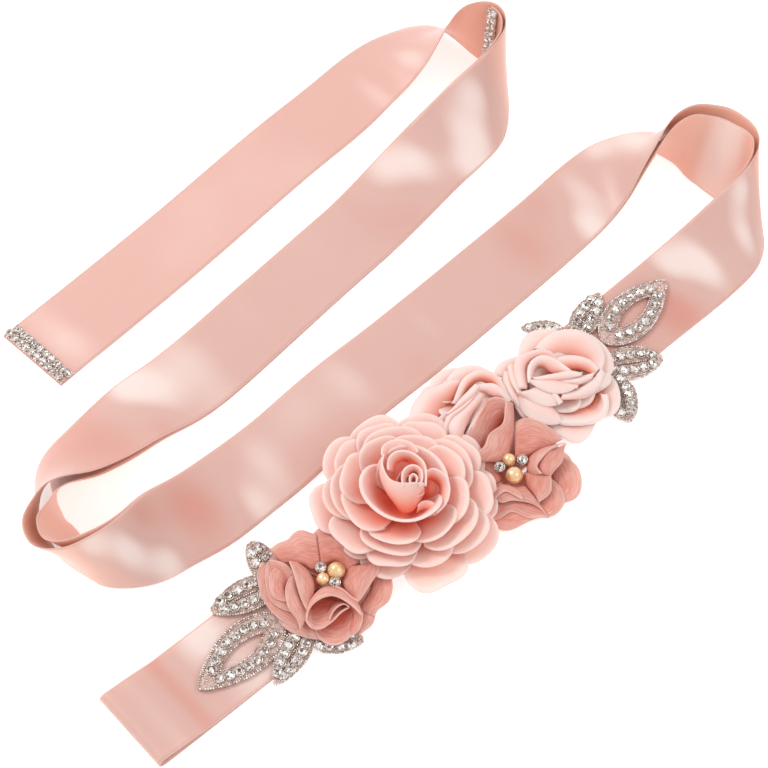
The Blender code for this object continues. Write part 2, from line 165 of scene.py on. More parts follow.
class Shader:
    """The node tree of one material, with its Principled shader."""

    def __init__(self, name: str) -> None:
        """Make an empty material of this name with a Principled shader.

        Args:
            name: The material's name.
        """
        self.material = bpy.data.materials.new(name)
        self.material.use_nodes = True
        self.tree = self.material.node_tree
        self.surface = self.tree.nodes["Principled BSDF"]

    def node(
        self, kind: str, settings: dict | None = None, inputs: dict | None = None, out: Any = 0
    ) -> Link:
        """Add a node.

        Args:
            kind: The node's type.
            settings: Its own settings; a ramp's stops are given as "stops".
            inputs: Values or links for its sockets, by number or name.
            out: The number or name of the output to return.

        Returns:
            The node's output.
        """
        made = self.tree.nodes.new(kind)
        for key, value in (settings or {}).items():
            if key == "stops":
                self._set_stops(made.color_ramp, value)
            else:
                setattr(made, key, value)
        for key, value in (inputs or {}).items():
            self._feed(made.inputs[key], value)
        return Link(self, made.outputs[out])

    def _set_stops(self, ramp: Any, stops: Sequence[tuple]) -> None:
        """Give a colour ramp its stops, each a place and a colour.

        Args:
            ramp: The ramp.
            stops: A place and a colour for each stop.
        """
        while len(ramp.elements) < len(stops):
            ramp.elements.new(0.5)
        for element, (place, colour) in zip(ramp.elements, stops):
            element.position = place
            element.color = (*colour, 1.0)

    def _feed(self, socket: Any, value: Any) -> None:
        """Link a socket to an output, or set its value.

        Args:
            socket: The input.
            value: A link, a colour or a number.
        """
        if isinstance(value, Link):
            self.tree.links.new(value.socket, socket)
        elif isinstance(value, tuple) and len(value) == 3 and socket.type == "RGBA":
            socket.default_value = (*value, 1.0)
        else:
            socket.default_value = value

    def mix(self, factor: Number, first: Colour, second: Colour) -> Link:
        """Return the colour between two colours, by a factor from 0 to 1."""
        settings = {"data_type": "RGBA", "clamp_factor": True}
        return self.node("ShaderNodeMix", settings, {0: factor, 6: first, 7: second}, 2)

    def dark(self, colour: Colour, factor: Number, shade: tuple) -> Link:
        """Return a colour multiplied towards a shade, by a factor from 0 to 1."""
        settings = {"data_type": "RGBA", "blend_type": "MULTIPLY", "clamp_factor": True}
        return self.node("ShaderNodeMix", settings, {0: factor, 6: colour, 7: shade}, 2)

    def across_along(self) -> tuple[Link, Link]:
        """Return a cloth's two directions, each in millimetres, from its UV map.

        Returns:
            Across and along the cloth.
        """
        split = self.tree.nodes.new("ShaderNodeSeparateXYZ")
        cloth = self.node("ShaderNodeUVMap", {"uv_map": "Cloth"})
        self.tree.links.new(cloth.socket, split.inputs[0])
        return Link(self, split.outputs[0]), Link(self, split.outputs[1])

    def value(self, name: str) -> Link:
        """Return a number that the mesh carries under this name."""
        return self.node("ShaderNodeAttribute", {"attribute_name": name}, {}, "Fac")

    def place(self, x: Number, y: Number, z: Number = 0.0) -> Link:
        """Join three numbers into a place."""
        return self.node("ShaderNodeCombineXYZ", {}, {0: x, 1: y, 2: z})

    def noise(self, place: Link | None, scale: float, detail: float = 2.0) -> Link:
        """Return noise from 0 to 1 at a place, or at the object's own places.

        Args:
            place: Where to read it, or None for the object's own places.
            scale: How fine it is.
            detail: How many finer layers it has.

        Returns:
            The noise.
        """
        if place is None:
            place = self.node("ShaderNodeTexCoord", {}, {}, "Object")
        return self.node(
            "ShaderNodeTexNoise", {}, {"Vector": place, "Scale": scale, "Detail": detail}
        )

    def bump(self, height: Link, distance_mm: float, strength: float = 1.0) -> Link:
        """Return a normal raised by a height, in millimetres for a height of 1."""
        inputs = {"Height": height, "Distance": distance_mm * MM, "Strength": strength}
        return self.node("ShaderNodeBump", {}, inputs)

    def finish(self, **values: Any) -> bpy.types.Material:
        """Set the Principled shader's sockets, named with underscores, and return the material.

        Args:
            **values: The sockets' names and values.

        Returns:
            The material.
        """
        for key, value in values.items():
            self._feed(self.surface.inputs[key.replace("_", " ")], value)
        return self.material


class Dye(NamedTuple):
    """The colours of one cloth: light is its painted highlight, mid its own colour in its folds, and deep
    its painted shade between its layers.
    """

    light: tuple
    mid: tuple
    deep: tuple


@dataclass(frozen=True)
class RibbonSatin:
    """Double-face satin ribbon: fine lengthwise floats, woven selvedges and a broad sheen.

    The ribbon carries a number that paints a highlight into the satin's colour where it is 1,
    where a swell turns the satin to the light, and paints shade where it is -1, where a swell
    turns it away. It carries a second number that is 1 where the cloth stands up in a turn or
    lies between its layers, and there a painted glow stands for light coming through it.
    """

    # light is a painted highlight colour and deep a painted shade colour; mid is the satin's own colour.
    dye_and_painted_shading: Dye = Dye((0.91, 0.71, 0.655), (0.70, 0.425, 0.37), (0.68, 0.31, 0.25))
    # A painted glow: the colour of light coming through the cloth, mixed into its base colour.
    glow: tuple = (0.82, 0.45, 0.35)
    half_width: float = 20.0
    selvedge: float = 0.9

    def material(self) -> bpy.types.Material:
        """Return the ribbon's material.

        Returns:
            The ribbon's material.
        """
        shader = Shader("Ribbon_satin")
        across, along = shader.across_along()
        tone = shader.value("tone")
        # Random soft lighter and darker patches: painted sheen on the satin.
        painted_sheen_patch = shader.noise(shader.place(across / 45.0, along / 60.0), 1.0, 1.0)
        thread = shader.noise(shader.place(across * 9.0, along * 0.35), 1.0, 2.0)
        slub = shader.noise(shader.place(across * 2.2, along * 0.05), 1.0, 1.0)
        edge = abs(across).above(self.half_width - self.selvedge, 0.25)
        groove = edge * (1.0 - abs(across).above(self.half_width - self.selvedge * 0.55, 0.3))
        turned = tone + (painted_sheen_patch - 0.5) * 0.5
        # Painted highlight where a swell turns the satin to the light, painted shade where it turns away.
        colour = shader.mix(turned.above(0.55, 0.9), self.dye_and_painted_shading.mid, self.dye_and_painted_shading.light)
        colour = shader.mix((0.0 - turned).above(0.7, 1.2), colour, self.dye_and_painted_shading.deep)
        # Painted glow where the cloth stands up in a turn or lies between its layers, less under a painted
        # highlight.
        colour = shader.mix(shader.value("warm") * (1.0 - turned * 0.6), colour, self.glow)
        colour = shader.dark(colour, thread * 0.09, (0.75, 0.6, 0.55))
        colour = shader.mix(edge * 0.45, colour, self.dye_and_painted_shading.light)
        # Painted shade in the selvedge's groove, and a painted shadow along the very edge.
        colour = shader.dark(colour, groove * 0.6, (0.78, 0.55, 0.5))
        rim = abs(across).above(self.half_width - 0.25, 0.2)
        colour = shader.dark(colour, rim * 0.55, (0.72, 0.6, 0.6))
        weave = thread * 0.5 + slub * 0.5 + edge * 2.0 - groove * 2.5
        return shader.finish(
            Base_Color=colour,
            Roughness=0.34 + thread * 0.06 + edge * 0.15,
            Specular_IOR_Level=0.5,
            Sheen_Weight=0.12,
            Sheen_Roughness=0.35,
            Anisotropic=0.3,
            Subsurface_Weight=0.3,
            Subsurface_Scale=0.0015,
            Subsurface_Radius=(1.0, 0.8, 0.7),
            Normal=shader.bump(weave, 0.06, 0.5),
        )


@dataclass(frozen=True)
class Chiffon:
    """Fine chiffon over satin: a painted highlight pale at the rim of a petal, a painted shade and glow
    deep at its foot.
    """

    dye_and_painted_shading: Dye = Dye((0.97, 0.66, 0.59), (0.99, 0.33, 0.235), (0.98, 0.14, 0.07))

    def material(self) -> bpy.types.Material:
        """Return the rose's material.

        Returns:
            The rose's material.
        """
        shader = Shader("Rose_chiffon")
        across, along = shader.across_along()
        out = shader.value("out")
        rim = shader.value("rim")
        cloud = shader.noise(None, 90.0, 1.0)
        weave = shader.noise(shader.place(across * 6.0, along * 6.0), 1.0, 1.0)
        crease = shader.noise(shader.place(across * 1.1, along * 0.06), 1.0, 2.0)
        # Painted shade deep at a petal's foot, lightening to a painted highlight towards its rim; cloud
        # adds random tone.
        tone = out + (cloud - 0.5) * 0.35
        colour = shader.mix(tone.above(0.38, 0.66), self.dye_and_painted_shading.deep, self.dye_and_painted_shading.mid)
        colour = shader.mix(tone.above(0.75, 0.7), colour, self.dye_and_painted_shading.light)
        # Painted highlight along the rolled rim.
        colour = shader.mix(rim.above(0.97, 0.05) * 0.45, colour, (1.0, 0.76, 0.70))
        # Painted shade in the fine creases.
        colour = shader.dark(colour, crease * 0.12, (0.9, 0.6, 0.55))
        return shader.finish(
            Base_Color=colour,
            Roughness=0.72 + weave * 0.1,
            Specular_IOR_Level=0.25,
            Sheen_Weight=0.15,
            Sheen_Roughness=0.5,
            Subsurface_Weight=0.35,
            Subsurface_Scale=0.0015,
            Subsurface_Radius=(1.0, 0.9, 0.85),
            Normal=shader.bump(weave * 0.4 + crease, 0.12, 0.5),
        )


@dataclass(frozen=True)
class CrinkleChiffon:
    """Chiffon with a pressed crinkle of fine uneven lines, with painted shade in its creases and at a
    petal's foot and a painted highlight at its rim.
    """

    dye_and_painted_shading: Dye = Dye((0.79, 0.44, 0.375), (0.77, 0.33, 0.265), (0.62, 0.13, 0.08))

    def material(self) -> bpy.types.Material:
        """Return the crinkled flowers' material.

        Returns:
            The crinkled flowers' material.
        """
        shader = Shader("Crinkle_chiffon")
        across, along = shader.across_along()
        out = shader.value("out")
        rim = shader.value("rim")
        drift = shader.noise(shader.place(across * 0.10, along * 0.10), 1.0, 1.0) * 3.0
        line = shader.noise(shader.place(across * 0.12, along * 1.9 + drift), 1.0, 1.5)
        cloud = shader.noise(None, 110.0, 1.0)
        # Painted shade deep at a petal's foot, lightening to a painted highlight at its rim; cloud adds
        # random tone.
        tone = out + (cloud - 0.5) * 0.4
        colour = shader.mix(tone.above(0.22, 0.5), self.dye_and_painted_shading.deep, self.dye_and_painted_shading.mid)
        colour = shader.mix(tone.above(0.8, 0.6), colour, self.dye_and_painted_shading.light)
        # Painted shade in the crinkle's creases; the bump gives their relief.
        colour = shader.dark(colour, line.above(0.5, 0.2) * 0.6, (0.80, 0.55, 0.5))
        # Painted highlight along the rim.
        colour = shader.mix(rim.above(0.94, 0.08) * 0.4, colour, (0.86, 0.52, 0.45))
        return shader.finish(
            Base_Color=colour,
            Roughness=0.8,
            Specular_IOR_Level=0.2,
            Sheen_Weight=0.12,
            Sheen_Roughness=0.6,
            Subsurface_Weight=0.25,
            Subsurface_Scale=0.0015,
            Subsurface_Radius=(1.0, 0.9, 0.85),
            Normal=shader.bump(line, 0.35, 0.7),
        )


@dataclass(frozen=True)
class PaleSatin:
    """Soft pale satin of the folded roses, with a painted glow and painted shade inside its folds and a
    painted highlight at its rims.
    """

    dye_and_painted_shading: Dye = Dye((0.90, 0.70, 0.65), (0.90, 0.43, 0.35), (0.94, 0.20, 0.09))

    def material(self) -> bpy.types.Material:
        """Return the folded roses' material.

        Returns:
            The folded roses' material.
        """
        shader = Shader("Pale_satin")
        across, along = shader.across_along()
        out = shader.value("out")
        rim = shader.value("rim")
        cloud = shader.noise(None, 70.0, 1.0)
        thread = shader.noise(shader.place(across * 5.0, along * 0.4), 1.0, 1.0)
        # Painted shade and glow deep inside the folds, lightening to a painted highlight at the rim; cloud
        # adds random tone.
        tone = out + (cloud - 0.5) * 0.3
        colour = shader.mix(tone.above(0.32, 0.6), self.dye_and_painted_shading.deep, self.dye_and_painted_shading.mid)
        colour = shader.mix(tone.above(0.7, 0.6), colour, self.dye_and_painted_shading.light)
        # Painted highlight along the rim.
        colour = shader.mix(rim.above(0.95, 0.08) * 0.4, colour, (0.93, 0.74, 0.68))
        return shader.finish(
            Base_Color=colour,
            Roughness=0.42 + thread * 0.08,
            Specular_IOR_Level=0.45,
            Sheen_Weight=0.1,
            Sheen_Roughness=0.4,
            Subsurface_Weight=0.25,
            Subsurface_Scale=0.0015,
            Subsurface_Radius=(1.0, 0.9, 0.85),
            Normal=shader.bump(thread, 0.08, 0.4),
        )


@dataclass(frozen=True)
class PearlLustre:
    """A champagne pearl: warm body colour under a clear coat."""

    light: tuple = (1.0, 0.80, 0.50)
    deep: tuple = (0.86, 0.48, 0.20)

    def material(self) -> bpy.types.Material:
        """Return the pearls' material.

        Returns:
            The pearls' material.
        """
        shader = Shader("Champagne_pearl")
        cloud = shader.noise(None, 260.0, 2.0)
        colour = shader.mix(cloud.above(0.5, 0.6), self.deep, self.light)
        return shader.finish(
            Base_Color=colour,
            Metallic=0.55,
            Roughness=0.14 + cloud * 0.08,
            Coat_Weight=1.0,
            Coat_Roughness=0.03,
        )


@dataclass(frozen=True)
class CutStone:
    """Clear cut stones with foiled backs: every facet gets a painted glint or a painted dark reflection,
    lighter or darker at random.
    """

    def material(self) -> bpy.types.Material:
        """Return the stones' material.

        Returns:
            The stones' material.
        """
        shader = Shader("Cut_stone")
        glint = shader.value("glint")
        stops = [
            (0.0, (0.10, 0.06, 0.05)),
            (0.35, (0.42, 0.32, 0.28)),
            (0.55, (0.86, 0.81, 0.77)),
            (0.75, (1.0, 0.99, 0.97)),
        ]
        # Each facet's random glint picks a painted reflection, from dark to white.
        colour = shader.node("ShaderNodeValToRGB", {"stops": stops}, {0: glint})
        return shader.finish(
            Base_Color=colour,
            Metallic=0.75,
            Roughness=0.05 + glint * 0.08,
            Coat_Weight=1.0,
            Coat_Roughness=0.02,
        )


@dataclass(frozen=True)
class CupMetal:
    """The bright plated metal of stone cups and prongs."""

    colour: tuple = (0.70, 0.62, 0.57)

    def material(self) -> bpy.types.Material:
        """Return the cups' material.

        Returns:
            The cups' material.
        """
        shader = Shader("Cup_metal")
        wear = shader.noise(None, 500.0, 2.0)
        colour = shader.dark(self.colour, wear.above(0.55, 0.4) * 0.6, (0.55, 0.45, 0.40))
        return shader.finish(Base_Color=colour, Metallic=1.0, Roughness=0.22 + wear * 0.15)


@dataclass(frozen=True)
class SeedGlass:
    """Silver-lined glass seed beads, some of them brighter than others by a painted glint."""

    def material(self) -> bpy.types.Material:
        """Return the seed beads' material.

        Returns:
            The seed beads' material.
        """
        shader = Shader("Seed_glass")
        glint = shader.value("glint")
        # Each bead's random glint paints it darker or as a bright glint.
        colour = shader.mix(glint, (0.42, 0.31, 0.27), (0.98, 0.91, 0.86))
        return shader.finish(
            Base_Color=colour, Metallic=0.45, Roughness=0.18, Coat_Weight=1.0, Coat_Roughness=0.05
        )


@dataclass(frozen=True)
class SheerBacking:
    """The stiff sheer net under the beads, rose-brown with thread between them."""

    def material(self) -> bpy.types.Material:
        """Return the backing's material.

        Returns:
            The backing's material.
        """
        shader = Shader("Sheer_backing")
        thread = shader.noise(None, 1400.0, 2.0)
        cloud = shader.noise(None, 160.0, 1.0)
        colour = shader.mix(thread.above(0.5, 0.3), (0.50, 0.29, 0.24), (0.80, 0.62, 0.56))
        colour = shader.dark(colour, cloud * 0.3, (0.85, 0.7, 0.65))
        return shader.finish(
            Base_Color=colour, Roughness=0.6, Normal=shader.bump(thread, 0.15, 0.6)
        )


@dataclass(frozen=True)
class PaleTable:
    """A pale light table that glows faintly, so that shadows on it stay soft."""

    colour: tuple = (0.93, 0.93, 0.93)
    glow: float = 0.5

    def material(self) -> bpy.types.Material:
        """Return the table's material.

        Returns:
            The table's material.
        """
        shader = Shader("Pale_table")
        grain = shader.noise(None, 4.0, 1.0)
        colour = shader.mix(grain * 0.2, self.colour, (0.96, 0.955, 0.95))
        return shader.finish(
            Base_Color=colour,
            Roughness=0.9,
            Specular_IOR_Level=0.1,
            Emission_Color=(1.0, 1.0, 1.0),
            Emission_Strength=self.glow,
        )

#        x     y    across roll  gap
RUN_1 = (
    (-166, 12, -42, 0, 0),
    (-136, 42, -45, 0, 0),
    (-91, 88, -45, 0, 0),
    (-45, 137, -45, 0, 0),
    (-22, 160, -45, 1, 0),
)
TOP_TURN = (
    (-1, 181, -47, 10, 0),
    (10, 189, -52, 22, 0),
    (19, 193, -60, 38, 0),
    (28, 194, -70, 57, 0),
    (37, 194, -84, 77, 0),
    (45, 193, -100, 92, 2.0),
    (52, 191, -106, 101, 2.5),
    (58, 186, -98, 104, 2.5),
    (61, 179, -84, 104, 2.0),
    (61, 171, -68, 107, 1.5),
    (59, 164, -56, 112, 1.4),
    (56, 157, -49, 120, 1.35),
    (52, 151, -46, 131, 1.35),
    (46, 145, -44, 144, 1.35),
    (37, 137, -43, 158, 1.35),
)
RUN_2 = (
    (27, 128, 137, 12, 1.35),
    (10, 109, 137, 5, 1.35),
    (-14, 82, 137, 0, 1.35),
    (-51, 43, 137, 0, 1.35),
    (-84, 8, 136, 0, 1.35),
    (-100, -7, 134, -4, 1.5),
)
LEFT_TURN = (
    (-113, -18, 133, -12, 2.2),
    (-124, -29, 133, -19, 2.8),
    (-134, -40, 134, -29, 3.2),
    (-142, -49, 135, -41, 3.6),
    (-148, -57, 133, -57, 4.5),
    (-151, -64, 122, -69, 6.0),
    (-152, -71, 96, -75, 7.0),
    (-152, -78, 60, -72, 7.0),
    (-149, -85, 40, -66, 6.0),
    (-144, -92, 32, -64, 5.0),
    (-138, -97, 20, -68, 4.0),
    (-130, -100, -8, -74, 3.5),
    (-122, -99, -36, -71, 3.0),
    (-114, -96, -46, -63, 2.4),
    (-105, -90, -48, -51, 1.8),
    (-96, -81, -48, -37, 1.5),
    (-84, -71, -47, -22, 1.4),
)
RUN_3 = (
    (-67, -55, -46, -9, 1.35),
    (-49, -38, -46, -3, 1.35),
    (-28, -16, -46, 0, 1.35),
    (8, 17, -46, 0, 1.35),
    (56, 62, -47, 0, 1.35),
    (82, 87, -47, 1, 1.35),
)
RIGHT_TURN = (
    (99, 104, -49, 6, 1.6),
    (109, 114, -54, 17, 2.0),
    (117, 121, -60, 31, 2.6),
    (126, 126, -68, 47, 3.2),
    (134, 128, -78, 65, 4.0),
    (142, 129, -92, 83, 5.0),
    (149, 129, -105, 97, 6.0),
    (156, 127, -110, 108, 6.5),
    (164, 124, -110, 117, 6.5),
    (171, 119, -107, 122, 6.0),
    (177, 113, -100, 124, 4.5),
    (181, 106, -90, 125, 3.0),
    (182, 98, -78, 127, 2.2),
    (180, 90, -67, 131, 1.8),
    (176, 83, -59, 138, 1.5),
    (170, 76, -53, 148, 1.4),
    (161, 68, -49, 160, 1.35),
)
RUN_4 = (
    (148, 57, 133, 10, 1.35),
    (130, 42, 133, 4, 1.35),
    (109, 24, 133, 0, 1.35),
    (72, -10, 133, 0, 1.35),
    (30, -48, 133, 0, 1.35),
    (-11, -85, 133, 0, 1.35),
    (-68, -136, 133, 0, 1.35),
    (-88, -153, 133, 0, 2.6),
    (-106, -168, 133, 0, 6.0),
)

STRETCHES = {
    "run_1": RUN_1,
    "top_turn": TOP_TURN,
    "run_2": RUN_2,
    "left_turn": LEFT_TURN,
    "run_3": RUN_3,
    "right_turn": RIGHT_TURN,
    "run_4": RUN_4,
}


# Meshes


class Cloth:
    """Grids of points that become a thin cloth, with the values that its material reads."""

    def __init__(self, name: str, grids: Sequence[np.ndarray], plans: Sequence[np.ndarray]) -> None:
        """Make the mesh.

        Args:
            name: The object's name.
            grids: Places in millimetres in the tables' frame, each grid in rows and columns.
            plans: Across and along in millimetres, for each grid's points.
        """
        mesh = bpy.data.meshes.new(name)
        faces = []
        count = 0
        for grid in grids:
            faces += self._faces(*grid.shape[:2], count)
            count += grid.shape[0] * grid.shape[1]
        points = np.concatenate([moved(grid).reshape(-1, 3) for grid in grids]) * MM
        mesh.from_pydata(points.tolist(), [], faces)
        self.mesh = mesh
        layer = mesh.uv_layers.new(name="Cloth")
        corners = np.empty(len(mesh.loops), dtype=np.int32)
        mesh.loops.foreach_get("vertex_index", corners)
        plan = np.concatenate([plan.reshape(-1, 2) for plan in plans])
        layer.data.foreach_set("uv", plan[corners].ravel())
        mesh.shade_smooth()
        self.obj = bpy.data.objects.new(name, mesh)
        bpy.context.collection.objects.link(self.obj)

    def _faces(self, rows: int, columns: int, first: int) -> list[tuple[int, int, int, int]]:
        """Return the quads of a grid whose points are numbered from first.

        Args:
            rows: How many rows of points.
            columns: How many columns.
            first: The number of the grid's first point.

        Returns:
            Four point numbers for each face.
        """
        faces = []
        for i in range(rows - 1):
            for j in range(columns - 1):
                a = first + i * columns + j
                b = a + columns
                faces.append((a, b, b + 1, a + 1))
        return faces

    def carry(self, name: str, values: np.ndarray) -> "Cloth":
        """Store a number for each point under a name.

        Args:
            name: The name that a shader reads it by.
            values: One number for each point.

        Returns:
            The cloth itself.
        """
        made = self.mesh.attributes.new(name, "FLOAT", "POINT")
        made.data.foreach_set("value", np.asarray(values, float).ravel())
        return self

    def thick(self, thickness: float) -> "Cloth":
        """Give the cloth its thickness, in millimetres.

        Args:
            thickness: The wall, in millimetres.

        Returns:
            The cloth itself.
        """
        wall = self.obj.modifiers.new("Thickness", "SOLIDIFY")
        wall.thickness = thickness * MM
        wall.offset = 0
        return self


def dress(
    obj: bpy.types.Object,
    material: bpy.types.Material,
    nodes: Sequence[str] = (),
) -> bpy.types.Object:
    """Give a piece its material and body, and hide the frame's nodes that it stands for.

    Args:
        obj: The piece.
        material: Its material.
        nodes: The frame's nodes that it replaces.

    Returns:
        The piece.
    """
    obj.data.materials.clear()
    obj.data.materials.append(material)
    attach(obj, "root")
    if nodes:
        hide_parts(*nodes)
    log.info("%s: %d faces", obj.name, len(obj.data.polygons))
    return obj


# The ribbon


class Section(NamedTuple):
    """One cross section of the ribbon, seen from above.

    x, y is the ribbon's middle. across is the direction from its left edge to its right edge,
    before it rolls. roll turns it about its own length. gap is the distance to the same ribbon
    coming back inside or underneath.
    """

    x: float
    y: float
    across: float
    roll: float
    gap: float


class Spline:
    """A natural cubic curve through rows of values at rising knots."""

    def __init__(self, knots: np.ndarray, rows: np.ndarray) -> None:
        """Solve the curve's bends at its knots.

        Args:
            knots: Rising places along the curve.
            rows: One row of values for each knot.
        """
        self.knots = np.array(knots, float)
        self.rows = np.array(rows, float)
        step = np.diff(self.knots)
        slope = np.diff(self.rows, axis=0) / step[:, None]
        system = np.eye(len(self.knots))
        wanted = np.zeros_like(self.rows)
        for i in range(1, len(self.knots) - 1):
            system[i, i - 1 : i + 2] = step[i - 1], 2 * (step[i - 1] + step[i]), step[i]
            wanted[i] = 6 * (slope[i] - slope[i - 1])
        self.bend = np.linalg.solve(system, wanted)

    def at(self, places: np.ndarray) -> np.ndarray:
        """Return the values at places between the first knot and the last.

        Args:
            places: Places along the curve.

        Returns:
            One row of values for each place.
        """
        i = np.clip(np.searchsorted(self.knots, places) - 1, 0, len(self.knots) - 2)
        step = (self.knots[i + 1] - self.knots[i])[:, None]
        late = (places[:, None] - self.knots[i][:, None]) / step
        early = 1 - late
        curve = (early**3 - early) * self.bend[i] + (late**3 - late) * self.bend[i + 1]
        return early * self.rows[i] + late * self.rows[i + 1] + curve * step**2 / 6


class Swell(NamedTuple):
    """A soft swell of the ribbon.

    place and across say where its middle is, along the ribbon and aside from the ribbon's middle.
    length and wide are how far it spreads both ways, height how far it lifts the ribbon, and
    its last value how much highlight it paints into the satin's colour, or painted shade below 0.
    """

    place: float
    across: float
    length: float
    wide: float
    height: float
    tone: float

    def share(self, places: np.ndarray, across: np.ndarray) -> np.ndarray:
        """Return how strong the swell is at each place and column, from 0 to 1.

        Args:
            places: Places along the ribbon, one for each row.
            across: Distances from its middle, one for each column.

        Returns:
            One share for each row and column.
        """
        away = (places[:, None] - self.place) / self.length
        aside = (across[None, :] - self.across) / self.wide
        return np.exp(-(away**2) - aside**2)


@dataclass
class SashRibbon:
    """One strip of satin ribbon, from its first end to the end fold and back underneath."""

    width: float = 40.0
    wall: float = 1.0
    edge_clear: float = 0.15
    second_end: float = 57.0
    shell: float = 0.45
    step: float = 2.5
    columns: int = 20
    stretches: dict = field(default_factory=lambda: STRETCHES)
    swells: tuple = field(default_factory=lambda: SWELLS)
    inner_swells: tuple = field(default_factory=lambda: INNER_SWELLS)

    def __post_init__(self) -> None:
        """Lay the middle line through the sections of every stretch."""
        sections = [Section(*row) for rows in self.stretches.values() for row in rows]
        middle = np.array([(s.x, s.y) for s in sections], float)
        steps = np.linalg.norm(np.diff(middle, axis=0), axis=1)
        self.knots = np.concatenate([[0], np.cumsum(steps)])
        across = np.radians([s.across for s in sections])
        roll = np.radians([s.roll for s in sections])
        flat = np.cos(roll)
        wide = [np.cos(across) * flat, np.sin(across) * flat, np.sin(roll)]
        self.gaps = np.array([s.gap for s in sections], float)
        self.length = float(self.knots[-1])
        self.spline = Spline(self.knots, np.column_stack([middle, np.transpose(wide)]))
        self.starts: dict[str, float] = {}
        first = 0
        for name, rows in self.stretches.items():
            self.starts[name] = float(self.knots[first])
            first += len(rows)

    def rows(self, places: np.ndarray) -> tuple[np.ndarray, ...]:
        """Return both layers' middle points, the width directions and the upper normals.

        Args:
            places: Places along the middle line.

        Returns:
            Outer middles, inner middles, width directions and normals.
        """
        places = np.asarray(places, float)
        values = self.spline.at(places)
        ahead = self.spline.at(np.minimum(places + 0.5, self.length))
        behind = self.spline.at(np.maximum(places - 0.5, 0))
        along = np.column_stack([(ahead - behind)[:, :2], np.zeros(len(places))])
        width = unit(values[:, 2:5])
        up = unit(np.cross(width, unit(along)))
        gap = np.interp(places, self.knots, self.gaps)
        edge = self.width / 2 + self.edge_clear
        rest = edge * np.abs(width[:, 2]) + self.wall / 2 * np.abs(up[:, 2])
        lift = np.maximum(up[:, 2], 0) * gap
        outer = np.column_stack([values[:, :2], rest + lift])
        flat = up[:, :2]
        lean = np.maximum(np.linalg.norm(flat, axis=1), 1e-6)
        aside = np.where(up[:, 2] > 0, gap * lean, gap / np.maximum(lean, 0.5))
        inner = np.column_stack([values[:, :2] - flat / lean[:, None] * aside[:, None], rest])
        return outer, inner, width, up

    def top_at(self, plan: np.ndarray) -> np.ndarray:
        """Return the height of the last run's top face under points seen from above.

        Args:
            plan: The points' x and y.

        Returns:
            One height for each point.
        """
        places = np.arange(self.starts["run_4"], self.length, 1.0)
        outer, _, width, up = self.rows(places)
        along = np.gradient(outer[:, :2], axis=0)
        off = plan[..., None, :] - outer[:, :2]
        i = np.argmin(np.abs((off * unit(along)).sum(axis=-1)), axis=-1)
        flat = width[i][..., :2]
        aside = ((plan - outer[i][..., :2]) * flat).sum(axis=-1) / (flat**2).sum(axis=-1)
        aside = np.clip(aside, -self.width / 2, self.width / 2)
        return outer[i][..., 2] + aside * width[i][..., 2] + self.wall / 2 / up[i][..., 2]

    def strip(self) -> tuple[np.ndarray, ...]:
        """Return the whole strip in order: middle, width, lifting direction and place.

        Returns:
            Four arrays with one row for each place on the strip.
        """
        laid = np.linspace(0, self.length, math.ceil(self.length / self.step) + 1)
        outer, _, width, up = self.rows(laid)
        back = laid[laid >= self.starts["top_turn"] + self.second_end][::-1]
        _, inner, wide_back, up_back = self.rows(back)
        along = unit((outer[-1] - outer[-2]) * np.array([1, 1, 0]))
        turn = np.radians(np.linspace(0, 180, 9))[1:-1, None]
        centre = (outer[-1] + inner[0]) / 2
        radius = (outer[-1] - inner[0])[2] / 2
        rise = np.array([0, 0, 1.0])
        fold = centre + radius * (np.sin(turn) * along + np.cos(turn) * rise)
        count = len(fold)
        return (
            np.concatenate([outer, fold, inner]),
            np.concatenate([width, np.tile(width[-1], (count, 1)), wide_back]),
            np.concatenate([up, np.tile(rise, (count, 1)), up_back]),
            np.concatenate([laid, np.full(count, self.length), back]),
        )

    def swollen(self, places: np.ndarray, across: np.ndarray) -> tuple[np.ndarray, np.ndarray]:
        """Return how far the swells lift the strip, and the highlight or shade that they paint on it.

        Args:
            places: The places of the strip's rows, which run out to the fold and back.
            across: The columns, measured from the ribbon's middle.

        Returns:
            The lift in millimetres and the painted highlight or shade, for each row and column.
        """
        first = np.arange(len(places)) <= np.argmax(places)
        lift = np.zeros((len(places), len(across)))
        tone = np.zeros_like(lift)
        for swells, layer in ((self.swells, first), (self.inner_swells, ~first)):
            for swell in swells:
                share = swell.share(places, across) * layer[:, None]
                lift += share * swell.height
                tone += share * swell.tone
        return lift, tone

    def between_layers(self, places: np.ndarray) -> np.ndarray:
        """Return 1 on the strip's rows that come back inside a turn, and 0 on the others.

        Args:
            places: The strip's places, in order.

        Returns:
            One number for each place.
        """
        turning = [name.endswith("turn") for name, rows in self.stretches.items() for _ in rows]
        near = [np.interp(places + shift, self.knots, turning) for shift in (-30, 0, 30)]
        return np.max(near, axis=0) * (np.arange(len(places)) > np.argmax(places))

    def build(self, finish: RibbonSatin) -> bpy.types.Object:
        """Make the ribbon as one strip of cloth that replaces its runs, turns and fold.

        Args:
            finish: The ribbon's satin.

        Returns:
            The ribbon.
        """
        middle, width, up, place = self.strip()
        across = np.linspace(-0.5, 0.5, self.columns + 1) * self.width
        lift, tone = self.swollen(place, across)
        points = middle[:, None] + width[:, None] * across[None, :, None]
        points = points + up[:, None] * lift[..., None]
        points[..., 2] = np.maximum(points[..., 2], self.shell / 2)
        cut = walked(middle)
        plan = np.stack(np.broadcast_arrays(across[None, :], cut[:, None]), axis=-1)
        # The swells' painted highlight and shade go to the satin's colour.
        cloth = Cloth("Ribbon", [points], [plan]).carry("tone", tone).thick(self.shell)
